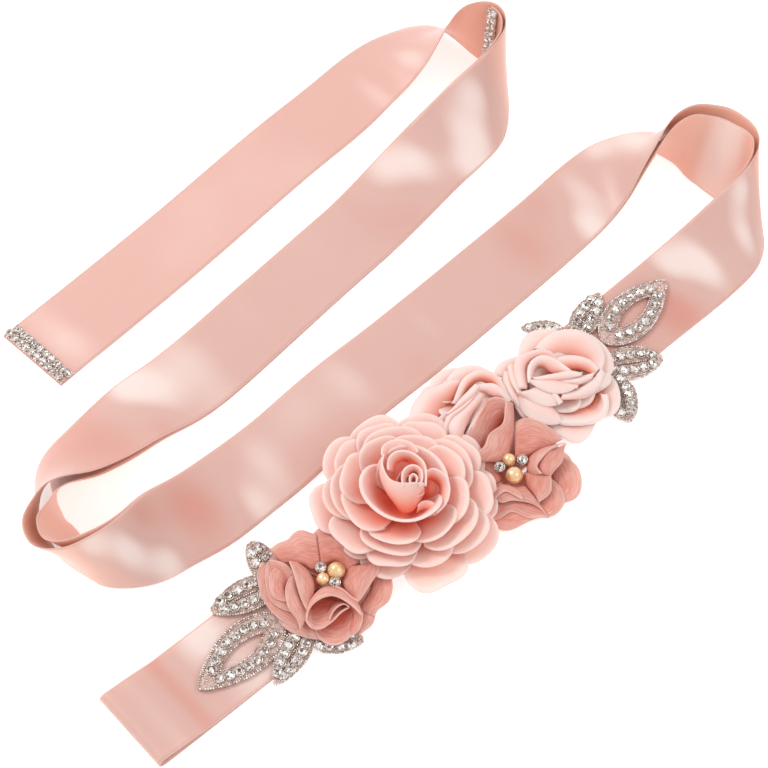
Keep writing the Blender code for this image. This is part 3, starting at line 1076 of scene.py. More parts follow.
        # Where the painted glow goes: upright parts of the turns and the layer coming back between them.
        warm = np.maximum(np.clip((0.5 - up[:, 2]) / 0.6, 0, 1), self.between_layers(place))
        cloth.carry("warm", np.repeat(warm[:, None], len(across), axis=1))
        nodes = list(self.stretches) + ["end_fold"]
        nodes += ["inner_" + name for name in self.stretches if name != "run_1"]
        dress(cloth.obj, finish.material(), nodes)
        log.info("ribbon cut %.0f x %.0f mm", self.width, cut[-1])
        return cloth.obj


# The last number of each swell paints a highlight (above 0) or shade (below 0) into the ribbon's colour;
# its height is real shape.
SWELLS = tuple(
    Swell(*row)
    for row in (
        (18, 3, 12, 25, 0.5, 0.5), (42, -6, 11, 16, 0.0, -0.3), (130, 0, 85, 90, 0.5, 0.3),
        (205, 0, 20, 40, 0.0, -0.3), (223, 12, 8, 20, 0.5, 0.5), (235, 9, 7, 18, -0.3, -0.5),
        (270, -19, 11, 12, 5.0, 0.2), (248, 8, 8, 16, 0.4, 0.6), (258, -10, 9, 14, 0.0, -0.4),
        (277, 0, 12, 60, 0.0, -1.0),
        (294, -6, 7, 18, 0.0, 0.5), (318, -4, 15, 60, 0.0, -1.0), (343, 8, 7, 12, 0.5, 0.9),
        (355, -4, 9, 18, 0.8, 0.9), (366, -16, 9, 12, 0.4, 0.8), (370, 14, 7, 14, -0.3, -0.2),
        (384, 2, 9, 14, 0.6, 0.6), (397, 12, 13, 16, 0.8, 0.8), (406, -14, 13, 18, -0.3, -0.6),
        (424, 0, 11, 50, -0.2, -0.4), (452, 0, 14, 60, 0.3, 0.1), (502, -6, 12, 30, 0.5, 0.3),
        (540, 0, 14, 40, 0.7, 0.5), (562, 7, 12, 18, 0.8, 0.7), (573, 16, 12, 12, 0.5, 0.7),
        (572, -15, 7, 12, 0.0, -0.6), (600, -3, 19, 45, 0.0, -0.9), (630, 18, 22, 14, 3.5, 0.0),
        (660, 19, 15, 12, 6.0, 0.0), (624, 0, 14, 60, 0.0, -0.5),
        (654, 4, 12, 60, 0.0, -0.8), (676, 0, 9, 60, 0.0, -0.8), (690, -15, 8, 12, 0.0, 1.0),
        (702, -2, 7, 13, 0.0, 1.0), (714, 13, 8, 12, 0.4, 1.0), (716, -14, 8, 12, 0.0, -0.7),
        (738, -3, 15, 22, 0.0, -1.2), (762, 12, 8, 14, 0.4, 0.7), (778, 4, 9, 22, 0.6, 0.5),
        (808, -8, 26, 20, 0.9, 0.4), (812, 17, 22, 10, 0.0, -0.2), (836, -4, 10, 22, 0.5, 0.4),
        (864, 14, 12, 10, 0.0, -0.4), (883, -2, 7, 20, 0.5, 0.3), (915, 0, 16, 50, 0.0, -0.15),
        (948, -4, 15, 28, -0.3, -0.75), (971, -14, 10, 14, -0.2, -0.5), (979, 14, 8, 14, 0.6, 0.9),
        (990, -2, 8, 22, 0.6, 0.6), (1003, 2, 6, 14, 0.0, -0.3), (1010, -14, 9, 12, 0.3, 0.7),
        (1037, -19, 11, 13, 5.0, 0.2), (1026, -4, 9, 22, 0.0, 0.7), (1044, 0, 11, 50, 0.0, -1.1),
        (1098, 0, 12, 60, 0.0, -1.3),
        (1112, 14, 7, 10, 0.0, 1.0), (1121, -4, 6, 14, 0.4, 0.8), (1134, 10, 7, 16, -0.2, -0.3),
        (1146, 0, 8, 18, 0.6, 1.0), (1158, 10, 9, 14, 0.6, 1.0), (1172, -8, 12, 22, -0.2, -1.1),
        (1205, 0, 20, 60, 0.0, -0.6), (1300, 0, 80, 60, 0.0, -0.4), (1438, -14, 16, 16, 0.4, 0.7),
        (1444, 16, 12, 14, 0.4, 0.9), (1468, 0, 6, 60, -0.4, -1.0), (1482, 0, 7, 60, 0.3, 0.3),
    )
)
# Swells of the layer that comes back underneath: painted shade inside the top and left loops, painted
# highlight and shade inside the right loop.
INNER_SWELLS = tuple(
    Swell(*row)
    for row in (
        (300, 0, 26, 60, 0.0, -0.6), (625, 0, 16, 60, 0.0, -1.1), (655, 0, 24, 60, 0.0, -1.4),
        (1044, 0, 12, 60, 0.0, -1.1), (1070, 0, 18, 60, 0.0, 1.4), (1092, 0, 9, 60, 0.0, -0.6),
    )
)


# Flowers


class Sheet(NamedTuple):
    """A petal's grid of points, its plan, its way from foot to rim, which sets its painted shade, and its
    nearness to the rim.
    """

    points: np.ndarray
    plan: np.ndarray
    out: np.ndarray
    rim: np.ndarray

    def shifted(self, x: float, y: float) -> "Sheet":
        """Return the sheet moved across and away."""
        return self._replace(points=self.points + np.array([x, y, 0.0]))


def curled(points: np.ndarray, roll: float, angle: float, count: int) -> np.ndarray:
    """Curl a grid's last row over and back, away from the upper side.

    Args:
        points: The grid, whose last row is the rim.
        roll: The radius of the curl.
        angle: How far it turns, in degrees.
        count: How many rows it gets.

    Returns:
        The grid with the curl's rows added.
    """
    out = unit(points[-1] - points[-2])
    along = unit(np.gradient(points[-1], axis=0))
    normal = unit(np.cross(along, out))
    facing = normal @ TO_VIEWER
    normal = normal * np.where(facing.mean() < 0, -1.0, 1.0)
    turn = np.radians(np.linspace(0, angle, count + 1))[1:, None, None]
    rows = points[-1] + roll * (np.sin(turn) * out - (1 - np.cos(turn)) * normal)
    return np.concatenate([points, rows])


TO_VIEWER = np.array([0.0, -0.469, 0.883])


@dataclass(frozen=True)
class Fold:
    """A petal or a fold of one that is laid between its rim and its foot.

    part names the piece that it belongs to. belly is how far its middle stands off, roll the
    radius of its turned rim, and deep the painted shade of its foot: 1 is as light as the rim.
    rim and foot are seen from above, and heights are those of the rim's first and last point and
    of the foot's.
    """

    part: str
    belly: float
    roll: float
    deep: float
    heights: tuple
    rim: tuple
    foot: tuple

    def sheet(self, curl: float) -> Sheet:
        """Return the fold's grid, with its rim curled by an angle in degrees.

        Args:
            curl: The rim's curl, in degrees.

        Returns:
            The fold's grid.
        """
        side = np.linspace(0, 1, 26)
        rim = self._edge(self.rim, self.heights[:2], side)
        foot = self._edge(self.foot, self.heights[2:], side)
        up = np.linspace(0, 1, 11)[:, None, None]
        bulge = np.sin(math.pi * up**0.9) * (np.sin(math.pi * side) ** 0.5)[None, :, None]
        flat = foot + (rim - foot) * up
        normal = unit(np.cross(np.gradient(rim, axis=0), rim - foot + 1e-6))
        normal = normal * np.where((normal @ TO_VIEWER).mean() < 0, -1.0, 1.0)
        points = flat + normal * bulge * self.belly
        points = curled(points, self.roll, curl, 5)
        across, along = walked(rim)[None, :], walked(points[:, points.shape[1] // 2])[:, None]
        plan = np.stack(np.broadcast_arrays(across, along), axis=-1)
        # out paints shade: from deep at the fold's foot to light at its rim, a little lighter towards its
        # ends.
        share = np.clip(np.arange(len(points)) / 10, 0, 1)[:, None]
        ends = 0.25 * np.maximum(np.abs(2 * side - 1) - 0.7, 0)[None, :]
        out = self.deep + (1 - self.deep) * share + ends * (1 - share)
        rim_share = np.clip(np.arange(len(points)) / 10.5, 0, 1)[:, None] * np.ones_like(out)
        return Sheet(points, plan, out, rim_share)

    def _edge(self, places: tuple, ends: tuple, side: np.ndarray) -> np.ndarray:
        """Return points of a smooth curve at shares of its length, rising between its ends.

        Args:
            places: Points that the curve goes through, seen from above.
            ends: The heights of its two ends.
            side: Shares of its length.

        Returns:
            One point for each share.
        """
        rows = np.array(places, float)
        knots = walked(rows)
        level = ends[0] + (ends[1] - ends[0]) * side
        return np.column_stack([Spline(knots, rows).at(side * knots[-1]), level])


@dataclass(frozen=True)
class PetalRing:
    """Petals of one cut that lap one another round a flower.

    half is half a petal's width as an angle. The petals start root from the middle at height
    low and rise to height high at distance span, by the power cup. Their rims roll outward on
    the radius roll by roll_angle. spoon lifts their sides and ripple waves their rims. petals
    lists which way each cloth points and how far it reaches, and every cloth is cut into
    lobes, each a petal that stands a little differently from its neighbours.
    """

    half: float
    root: float
    low: float
    span: float
    high: float
    cup: float
    roll: float
    roll_angle: float
    spoon: float
    ripple: float
    petals: tuple
    lobes: int = 1
    round_rim: float = 0.26

    def sheets(self, number: int, seed: int) -> list[Sheet]:
        """Return the petals of one cloth of the ring.

        Args:
            number: The cloth's number in the ring.
            seed: What its chances follow from.

        Returns:
            The cloth's petals.
        """
        chance = np.random.default_rng(seed * 100 + number)
        angle, reach = self.petals[number]
        pitch = 360 / len(self.petals) / self.lobes
        made = []
        for lobe in range(self.lobes):
            aside = (lobe - (self.lobes - 1) / 2) * pitch
            if self.lobes > 1:
                aside += chance.uniform(-0.12, 0.12) * pitch
            longer = chance.uniform(-0.05, 0.03) * reach if self.lobes > 1 else 0.0
            made.append(self._petal(angle + aside, reach + longer, chance))
        return made

    def _petal(self, angle: float, reach: float, chance: np.random.Generator) -> Sheet:
        """Return one petal's grid about the flower's middle.

        Args:
            angle: Which way it points, in degrees.
            reach: How far its rim is from the flower's middle.
            chance: Where its small differences come from.

        Returns:
            The petal's grid.
        """
        out = np.linspace(0, 1, 18)[:, None]
        side = np.linspace(-1, 1, 27)[None, :]
        neck = 0.72 + 0.28 * np.sin(np.minimum(out * 1.5, 1) * math.pi / 2)
        turn = np.radians(angle + side * self.half * neck)
        phase = chance.uniform(0, 2 * math.pi, 3)
        lean = chance.uniform(-0.04, 0.04)
        tuck = 0.08 * side**2 + self.round_rim * np.abs(side) ** 4 + lean * side
        nick = 0.018 * np.sin(side * 5 + phase[0])
        end = reach - (reach - self.root) * (tuck + nick)
        radius = self.root + (end - self.root) * out
        share = (radius - self.root) / (self.span - self.root)
        height = self.low + (self.high - self.low) * np.maximum(share, 0) ** self.cup
        height = height + self.spoon * (side**2 - 0.35) * share
        wave = np.sin(side * 4.0 + phase[1]) + 0.6 * np.sin(side * 7.5 + phase[2])
        height = height + self.ripple * wave * out**2
        points = np.stack([radius * np.cos(turn), radius * np.sin(turn), height], axis=-1)
        normal = unit(np.cross(np.gradient(points, axis=0), np.gradient(points, axis=1)))
        pieces = len(self.petals) * self.lobes
        lap = 0.76 * self.half * pieces / 180
        points = points + normal * (lap * side)[..., None]
        points = self._rolled(points, normal)
        rows = len(points)
        # 0 at the foot, where the materials paint shade, to 1 at the rim.
        way = np.clip(np.arange(rows) / 17, 0, 1)[:, None] * np.ones_like(side)
        wide = radius[-1] * np.radians(side * self.half)
        long = np.linspace(0, 1, rows)[:, None] * (reach - self.root)
        plan = np.stack(np.broadcast_arrays(wide, long), axis=-1)
        edge = np.clip(np.maximum(way, np.abs(side) * (way > 0.35)), 0, 1)
        return Sheet(points, plan, way, edge)

    def _rolled(self, points: np.ndarray, normal: np.ndarray) -> np.ndarray:
        """Roll a petal's rim outward and down.

        Args:
            points: The petal's grid.
            normal: The grid's normals.

        Returns:
            The grid with the rows of its rolled rim.
        """
        rim = points[-1]
        out = unit(points[-1] - points[-3])
        turn = np.radians(np.linspace(0, self.roll_angle, 6))[1:, None, None]
        upward = normal[-1] * np.where(normal[-1, :, 2:] < 0, -1.0, 1.0)
        rows = rim + self.roll * (np.sin(turn) * out - (1 - np.cos(turn)) * upward)
        return np.concatenate([points, rows])


@dataclass(frozen=True)
class Coil:
    """A rolled strip: a wall that winds outward from a flower's middle.

    It stands from low to high, winds turns times from the radius inner to outer, is narrowed at
    its foot by waist, and its rim drops by droop and flares by flare on its last turn.
    """

    low: float
    high: float
    inner: float
    outer: float
    turns: float
    waist: float
    droop: float
    flare: float
    start: float

    def sheet(self) -> Sheet:
        """Return the strip's grid about its own middle.

        Returns:
            The strip's grid.
        """
        turn = np.linspace(0, self.turns * 2 * math.pi, math.ceil(self.turns * 40))[:, None]
        share = np.linspace(0, 1, 14)[None, :]
        wound = turn / turn.max()
        radius = self.inner + (self.outer - self.inner) * wound
        widen = self.waist + (1 - self.waist) * np.sin(share * math.pi / 2)
        sink = self.droop * wound**2 * (1 + 0.35 * np.sin(turn * 2.3 + 1.0))
        top = self.low + (self.high - self.low) * (1 - sink)
        flare = self.flare * wound * np.clip((share - 0.8) / 0.2, 0, 1) ** 2
        round_ = radius * widen + flare
        way = turn + math.radians(self.start)
        height = self.low + (top - self.low) * share - flare * 0.4
        points = np.stack([round_ * np.cos(way), round_ * np.sin(way), height], axis=-1)
        plan = np.stack(np.broadcast_arrays(radius * turn, height), axis=-1)
        out = share * np.ones_like(turn)
        # The coil is painted darker at its foot and lighter towards its top.
        return Sheet(points, plan, 0.15 + 0.7 * out, out)


@dataclass
class Flower:
    """A flower sewn on the last run, gathered part by part from petals, folds and a bud.

    Each part is one piece. replaced says which node a part stands for.
    """

    name: str
    x: float
    y: float
    material: bpy.types.Material
    slot: Slot
    replaced: dict
    thickness: float
    curl: float
    parts: dict = field(default_factory=dict)

    def ring(self, ring: PetalRing, names: Sequence[str], seed: int) -> "Flower":
        """Add a ring of petals, of which each cloth goes to the part of its name.

        Args:
            ring: The ring.
            names: The part of each cloth.
            seed: What its chances follow from.

        Returns:
            The flower itself.
        """
        for number, name in enumerate(names):
            for sheet in ring.sheets(number, seed):
                self.parts.setdefault(name, []).append(sheet.shifted(self.x, self.y))
        return self

    def folds(self, folds: Sequence[Fold]) -> "Flower":
        """Add folds, each to the part that it names.

        Args:
            folds: The folds, at their own places.

        Returns:
            The flower itself.
        """
        for fold in folds:
            self.parts.setdefault(fold.part, []).append(fold.sheet(self.curl))
        return self

    def bud(self, coil: Coil, name: str, place: tuple) -> "Flower":
        """Add a rolled middle at a place measured from the flower's middle.

        Args:
            coil: The rolled strip.
            name: The part that it goes to.
            place: Its x and y from the flower's middle.

        Returns:
            The flower itself.
        """
        sheet = coil.sheet().shifted(self.x + place[0], self.y + place[1])
        self.parts.setdefault(name, []).append(sheet)
        return self

    def build(self) -> list[bpy.types.Object]:
        """Make one piece of every part.

        Returns:
            The flower's pieces.
        """
        pieces = []
        for part, sheets in self.parts.items():
            cloth = Cloth(f"{self.name}_{part}", *zip(*[(s.points, s.plan) for s in sheets]))
            cloth.carry("out", np.concatenate([s.out.ravel() for s in sheets]))
            cloth.carry("rim", np.concatenate([s.rim.ravel() for s in sheets]))
            cloth.thick(self.thickness)
            node = self.replaced.get(part)
            pieces.append(dress(cloth.obj, self.material, (node,) if node else ()))
        return pieces


def big_rose() -> Flower:
    """Return the large layered rose.

    Returns:
        The rose, before it is built.
    """
    names = {f"petal_{n}": f"rose_petal_{n}" for n in range(1, 17)}
    names["bud"] = "rose_coil"
    rose = Flower("Rose", 10, -65, Chiffon().material(), Slot.ROSE, names, 0.22, 120)
    label = [f"petal_{n}" for n in range(1, 17)]
    outer = ((20, 40), (92, 43), (164, 42), (236, 37), (308, 44))
    rose.ring(PetalRing(25, 7.0, 4.3, 43, 13, 1.0, 1.6, 60, 0.6, 0.35, outer, 2), label[:5], 1)
    second = ((56, 36.5), (128, 36), (200, 36), (272, 35), (344, 38))
    rose.ring(PetalRing(25, 6.5, 7.1, 36, 18.5, 1.0, 1.6, 60, 0.6, 0.35, second, 2), label[5:10], 2)
    between = ((35, 31), (107, 31), (179, 32), (251, 30), (323, 33))
    rose.ring(PetalRing(36, 6.5, 9.0, 32, 22.5, 1.1, 1.4, 65, 0.8, 0.3, between, 1),
              [f"between_{n}" for n in range(1, 6)], 3)
    third = ((10, 27), (100, 26), (190, 28), (280, 26))
    rose.ring(PetalRing(34, 6.0, 10.2, 28, 26.5, 1.2, 1.2, 70, 0.8, 0.3, third, 2), label[10:14], 4)
    cup = ((60, 17.4), (240, 19.4))
    rose.ring(PetalRing(108, 5.0, 13.8, 19, 33, 2.0, 1.1, 100, 0.0, 0.45, cup, 1), label[14:], 5)
    coil = Coil(15, 31, 1.5, 7.5, 1.8, 0.45, 0.1, 0.3, 30)
    return rose.bud(coil, "bud", (2, 1)).folds(ROSE_BUD_FOLDS)


def crinkle_flower(name: str, node: str, x: float, y: float, turn: float, reaches: tuple,
                   folds: tuple, material: bpy.types.Material) -> Flower:
    """Return one of the two crinkled chiffon flowers.

    Args:
        name: The flower's name.
        node: How its nodes' names start.
        x: Where its middle is, across.
        y: Where its middle is, away.
        turn: The way its first petal points.
        reaches: How far its five lower petals reach.
        folds: Its gathered folds.
        material: Its chiffon.

    Returns:
        The flower.
    """
    names = {str(n): f"{node}_petal_{n}" for n in range(1, 6)}
    flower = Flower(name, x, y, material, Slot.CRINKLE, names, 0.22, 100)
    lower = tuple((turn + 72 * i, reach) for i, reach in enumerate(reaches))
    ring = PetalRing(46, 4.0, 4.4, 29, 6.5, 1.0, 1.5, 50, 0.5, 0.3, lower, 1)
    return flower.ring(ring, list(names), 7).folds(folds)


def folded_rose(name: str, node: str, x: float, y: float, folds: tuple, reaches: tuple,
                labels: tuple, material: bpy.types.Material) -> Flower:
    """Return one of the two folded satin roses.

    Args:
        name: The flower's name.
        node: How its nodes' names start.
        x: Where its middle is, across.
        y: Where its middle is, away.
        folds: Its turned folds.
        reaches: How far its six hidden lower petals reach.
        labels: The parts that stand for its first and second petal node.
        material: Its satin.

    Returns:
        The flower.
    """
    names = {labels[0]: f"{node}_petal_1", labels[1]: f"{node}_petal_2", "bud": f"{node}_coil"}
    flower = Flower(name, x, y, material, Slot.SATIN_ROSE, names, 0.45, 170)
    lower = tuple((60 * i, reach) for i, reach in enumerate(reaches))
    under = PetalRing(42, 4.0, 4.2, 27, 6.0, 1.0, 0.8, 150, 0.5, 0.2, lower, 1)
    inner = tuple((30 + 60 * i, 0.62 * max(reaches)) for i in range(6))
    middle = PetalRing(42, 3.0, 5.5, 18, 11.0, 0.8, 0.8, 150, 0.5, 0.2, inner, 1)
    parts = [labels[0]] * 3 + [labels[1]] * 3
    return flower.ring(under, parts, 3).ring(middle, parts, 4).folds(folds)


UPPER_SATIN_FOLDS = (
    Fold("left", 1.5, 0.5, 0.45, (7, 7, 6, 6),
         ((63.2, 10.6), (64.9, 18.6), (68.8, 23.5), (74.5, 25.1), (81.6, 25.4)),
         ((70.7, 8.5), (73.1, 11.7), (76, 13.8), (79.4, 15.4), (82.7, 17))),
    Fold("left", 1.5, 0.5, 0.3, (7, 7, 6, 6),
         ((51.7, 1.6), (53.2, 5.8), (56.6, 8.5), (60.4, 10.1), (64.6, 11.1)),
         ((59.5, -3.2), (61.1, 1), (63, 4.2), (65.5, 6.3), (68.3, 7.4))),
    Fold("right", 1.5, 0.6, 0.3, (8, 8, 7, 7),
         ((96.9, 21.9), (101.4, 18.1), (104.9, 13.2), (106.5, 7.9), (106.2, 3.1), (104.2, -0)),
         ((89.6, 14.3), (93.2, 11.7), (95.4, 8.5), (96.1, 4.7), (96, 1.6), (94.9, -0.6))),
    Fold("right", 1, 0.6, 0.05, (8, 8, 6, 6),
         ((103.8, 1.5), (107.3, -3.2), (108.6, -8.4), (108.5, -13.7), (106.9, -17.8), (103.1, -20.4),
          (99.8, -21.4)),
         ((95.1, 1), (96.3, -2.7), (96.6, -6.3), (96.4, -9.5), (95.4, -12.6), (93.4, -14.2),
          (91.6, -14.7))),
    Fold("left", 1.5, 0.4, 0.25, (6, 6, 5.5, 5.5),
         ((74.1, -24), (77.2, -27.6), (81.6, -30.2), (85.2, -32.5), (88.4, -33.3), (92.6, -31.2),
          (95.5, -27.1), (97.7, -21.5)),
         ((77.6, -17.6), (80.3, -18.6), (83.1, -19.6), (85.3, -20.2), (87.6, -20.2), (90, -19.1),
          (91.9, -17.6), (93.4, -15.5))),
    Fold("right", 2.5, 0.9, 0.35, (10, 11, 9, 9),
         ((71, 13.2), (75.5, 19), (80.7, 22.2), (87.8, 23.2), (94.3, 21.5), (99.2, 17.1), (102, 11.7),
          (101.9, 6.3), (99.7, 1)),
         ((77.4, 7.9), (79.4, 9), (81.7, 9.5), (85, 9.5), (88.3, 9.5), (91.5, 8.4), (94.2, 6.8),
          (95.9, 4.2), (96.7, 1.5))),
    Fold("right", -1, 1.3, -0.1, (10, 10, 6.5, 6.5),
         ((76.7, -18.8), (80.2, -23), (87.1, -24.3), (94, -23.5), (99.1, -21.2), (101.2, -16.3),
          (100.2, -10.5)),
         ((79.6, -12.9), (82.3, -13.9), (87.4, -13.9), (92.5, -12.9), (96.3, -11.3), (97.8, -9.2),
          (98.4, -6.6))),
    Fold("left", 1.5, 0.8, 0.6, (9, 10, 13, 11),
         ((61.9, -10), (62.2, -15.3), (64.3, -19.8), (67.9, -23), (72.4, -24.9), (77.4, -25.7),
          (82, -24.5)),
         ((65.8, -10), (67.6, -12.5), (69.9, -13.8), (73.1, -15.2), (75.8, -16.6), (78, -19),
          (80.2, -21.9))),
    Fold("left", 0.8, 0.6, 0.55, (10, 8, 11, 9),
         ((56.2, 1.5), (55.4, -3.5), (56.9, -9.1), (59.5, -13.6), (62.6, -17.5), (65.8, -21.4)),
         ((58.5, 1), (58.8, -3.5), (60.1, -7.5), (61.8, -11), (64, -14.9), (66.2, -18.9))),
    Fold("left", 0.8, 0.6, 0.4, (12, 12, 12, 12),
         ((58, 3.6), (58.3, -1.7), (59.6, -6.4), (62.2, -11.1)),
         ((60.8, 5.2), (61.1, -0.6), (61.9, -5.3), (63.6, -10))),
    Fold("left", 0.6, 0.5, 0.2, (8, 7, 8, 8),
         ((59.6, -13.1), (61.3, -17.1), (63.5, -20.6), (66.2, -22.5)),
         ((61.9, -12.6), (63.2, -16.3), (65.4, -18.9), (68.1, -20.9))),
    Fold("bud", 1.4, 0.9, 0.5, (13, 13, 14, 14),
         ((62.6, -9.5), (61, -3.8), (60.5, 2.5), (62.3, 7.3), (67, 9.7), (72.6, 11.3), (77.7, 9.9),
          (80.8, 5.7)),
         ((65.8, -10), (66, -4.3), (65.7, 0.9), (67.7, 4.6), (71, 6.7), (74.3, 7.3), (77.4, 5.7),
          (80.1, 3))),
    Fold("bud", 1.6, 0.9, 0.15, (14, 13, 12, 12),
         ((80.2, 5.2), (84.9, 7.1), (91, 7), (96.5, 4.5), (99.1, 0.4)),
         ((82.5, 0.4), (86.2, 1), (90.4, 1.2), (94, -0.1), (97.2, -2.2))),
    Fold("bud", 0.8, 0.7, 0.35, (17, 16, 13, 14),
         ((67.5, -8), (67.2, -2.2), (68.8, 2.6), (73.1, 5.6), (78.1, 4.4), (82.2, 1.3), (85.7, -2.2)),
         ((69.2, -5.9), (69.3, -1.8), (71.3, 1.8), (73.6, 1.7), (76.7, -1), (79.9, -2.1), (83.6, -2.7))),
    Fold("bud", 1.2, 0.7, 0.75, (12, 15, 10, 14),
         ((101.1, 1.5), (98, -3.1), (94, -7.2), (87.8, -11.2), (81.6, -13.9)),
         ((104.7, -2.7), (101.6, -7.4), (97.2, -10.6), (91.4, -13.7), (80.7, -15.5))),
    Fold("bud", 0.8, 0.6, 0.75, (10, 12, 12, 13),
         ((104.5, 1), (105.1, -3.4), (101.6, -7.8), (96.8, -10.9), (91.6, -13.5), (85.5, -14.2)),
         ((100.5, -1.1), (100.7, -4.4), (97.8, -7.1), (94, -9.3), (89.2, -12), (83.6, -13.7))),
    Fold("bud", 1, 0.7, 0.7, (13, 13.5, 15, 15),
         ((62.1, -12.1), (65.7, -14.3), (70.2, -16.7), (74.7, -18), (79.3, -17.3)),
         ((62, -11.9), (66.6, -11.1), (71.2, -9.3), (75.8, -11.1), (77.9, -14.7))),
    Fold("bud", 1.3, 0.7, 0.65, (17, 16, 17, 16),
         ((67, -7.5), (71.1, -10.5), (75.6, -12.5), (80.6, -12.9), (85.3, -11.7), (89.1, -9.5)),
         ((67.5, -7), (72.6, -6.6), (77.2, -6.7), (81.8, -7.4), (85.4, -8.6), (89.1, -9.3))),
    Fold("bud", 0.8, 0.6, 0.65, (16.5, 14, 15, 13.5),
         ((79.9, -7.7), (84.7, -6), (90.8, -4.2), (97, -2)),
         ((81.9, -8), (86.5, -8.5), (91.2, -7.2), (96, -4))),
    Fold("bud", 0.9, 0.6, 0.7, (18, 16.5, 17, 16),
         ((68.8, -7), (74, -5.2), (81, -3.4), (87.5, -2.5), (91.1, -3.6)),
         ((68.9, -7), (74.4, -7.1), (80.9, -6.7), (86.5, -5.5), (91.2, -3.8))),
    Fold("bud", 0.7, 0.6, 0.75, (15.5, 14.5, 15.5, 14.5),
         ((76.6, -11.9), (77.9, -15.2), (80.5, -18.1)),
         ((78.4, -11.9), (80.2, -14.5), (82, -17))),
)

LOWER_SATIN_FOLDS = (
    Fold("back", 1.5, 0.5, 0.35, (9, 9, 8, 8),
         ((29.2, -3.7), (31.6, 0.5), (34.4, 3.1), (38.2, 4.6), (41.9, 4.8), (45.6, 3.9), (49.3, 1.5)),
         ((36.2, -6.4), (38.1, -3.7), (40, -2.1), (41.8, -1.1), (44.2, -1.1), (46.5, -2.1), (48.3, -4.3))),
    Fold("front", 3, 0.8, 0.25, (8, 9, 7, 8),
         ((12.2, -24.5), (12.9, -17.4), (15.2, -12.3), (19.4, -8.2), (25, -5.7), (30.6, -3.1),
          (35.7, -1.9)),
         ((23.9, -26.6), (26.2, -20.5), (28.6, -16.4), (31, -13.4), (33.3, -10.4), (34.8, -6.8),
          (36.7, -4.3))),
    Fold("back", 2, 0.9, 0.1, (11, 11, 9, 10),
         ((32.6, -16.3), (34.6, -8.5), (37, -3.2), (40.8, -0.1), (45.5, 1.4), (50.1, 0.3),
          (53.7, -3.2), (56.1, -9), (58, -14.7)),
         ((34.1, -16.3), (37.4, -9.6), (40.8, -5.4), (43.6, -3.7), (46.8, -4), (50, -5.1),
          (52.7, -7.8), (54.4, -11.5), (56.6, -15.7))),
    Fold("back", 1, 0.8, 0.4, (14, 11, 12, 10),
         ((42.8, -9), (47, -7.4), (50.7, -7.1), (53.9, -9.1), (56.2, -12.4), (57.5, -16.3)),
         ((43.3, -10.6), (47, -10.9), (50.2, -12.5), (53.4, -13), (55.3, -14.4), (56.6, -16.8))),
    Fold("front", 0.8, 0.6, 0.4, (10, 10, 9, 9),
         ((29.9, -19.9), (26.1, -22.2), (23.8, -26.1), (24.2, -30.7), (26.4, -34.7), (29.1, -37.8)),
         ((31.7, -18.9), (29.9, -21.9), (28, -26.1), (27.4, -30.2), (28.8, -33.7), (31, -36.8))),
    Fold("bud", 1, 0.5, 0.2, (13, 11, 12, 10),
         ((45.5, -13.7), (44, -17.6), (41.6, -22.6), (39.3, -28), (36.9, -32.9), (34.5, -37.8)),
         ((48.3, -14.7), (46.3, -19.7), (44, -23.6), (42, -28), (39.7, -32.9), (37.3, -37.8))),
    Fold("bud", 1.5, 0.7, 0.5, (16, 12, 15, 12),
         ((42.6, -11.6), (39.3, -17), (35.2, -21.8), (31, -26), (29.8, -29.8), (30.9, -34),
          (33.1, -38.3)),
         ((45.9, -13.2), (43.5, -18.1), (40.7, -21.9), (38.3, -26.8), (36.4, -31.6), (35, -35.5),
          (34, -38.8))),
    Fold("bud", 1, 0.6, 0.6, (17, 11, 17, 11),
         ((41.2, -13.7), (37, -18.1), (32.4, -21.2), (29.2, -23.5), (27.8, -27.1), (27.1, -31.1),
          (28, -35.2)),
         ((43.5, -11.6), (40.2, -16.8), (36.1, -21.4), (32.4, -24.2), (30.1, -27.1), (29.2, -30.6),
          (28.7, -35.2))),
    Fold("bud", 0.9, 0.6, 0.65, (18, 14, 18, 14),
         ((42.1, -9.8), (39.4, -12.2), (35.2, -16.3), (31.5, -20.4), (28.3, -23)),
         ((43.7, -10.6), (41.2, -14.7), (37, -18.3), (33.3, -20.9), (29.2, -23.5))),
)

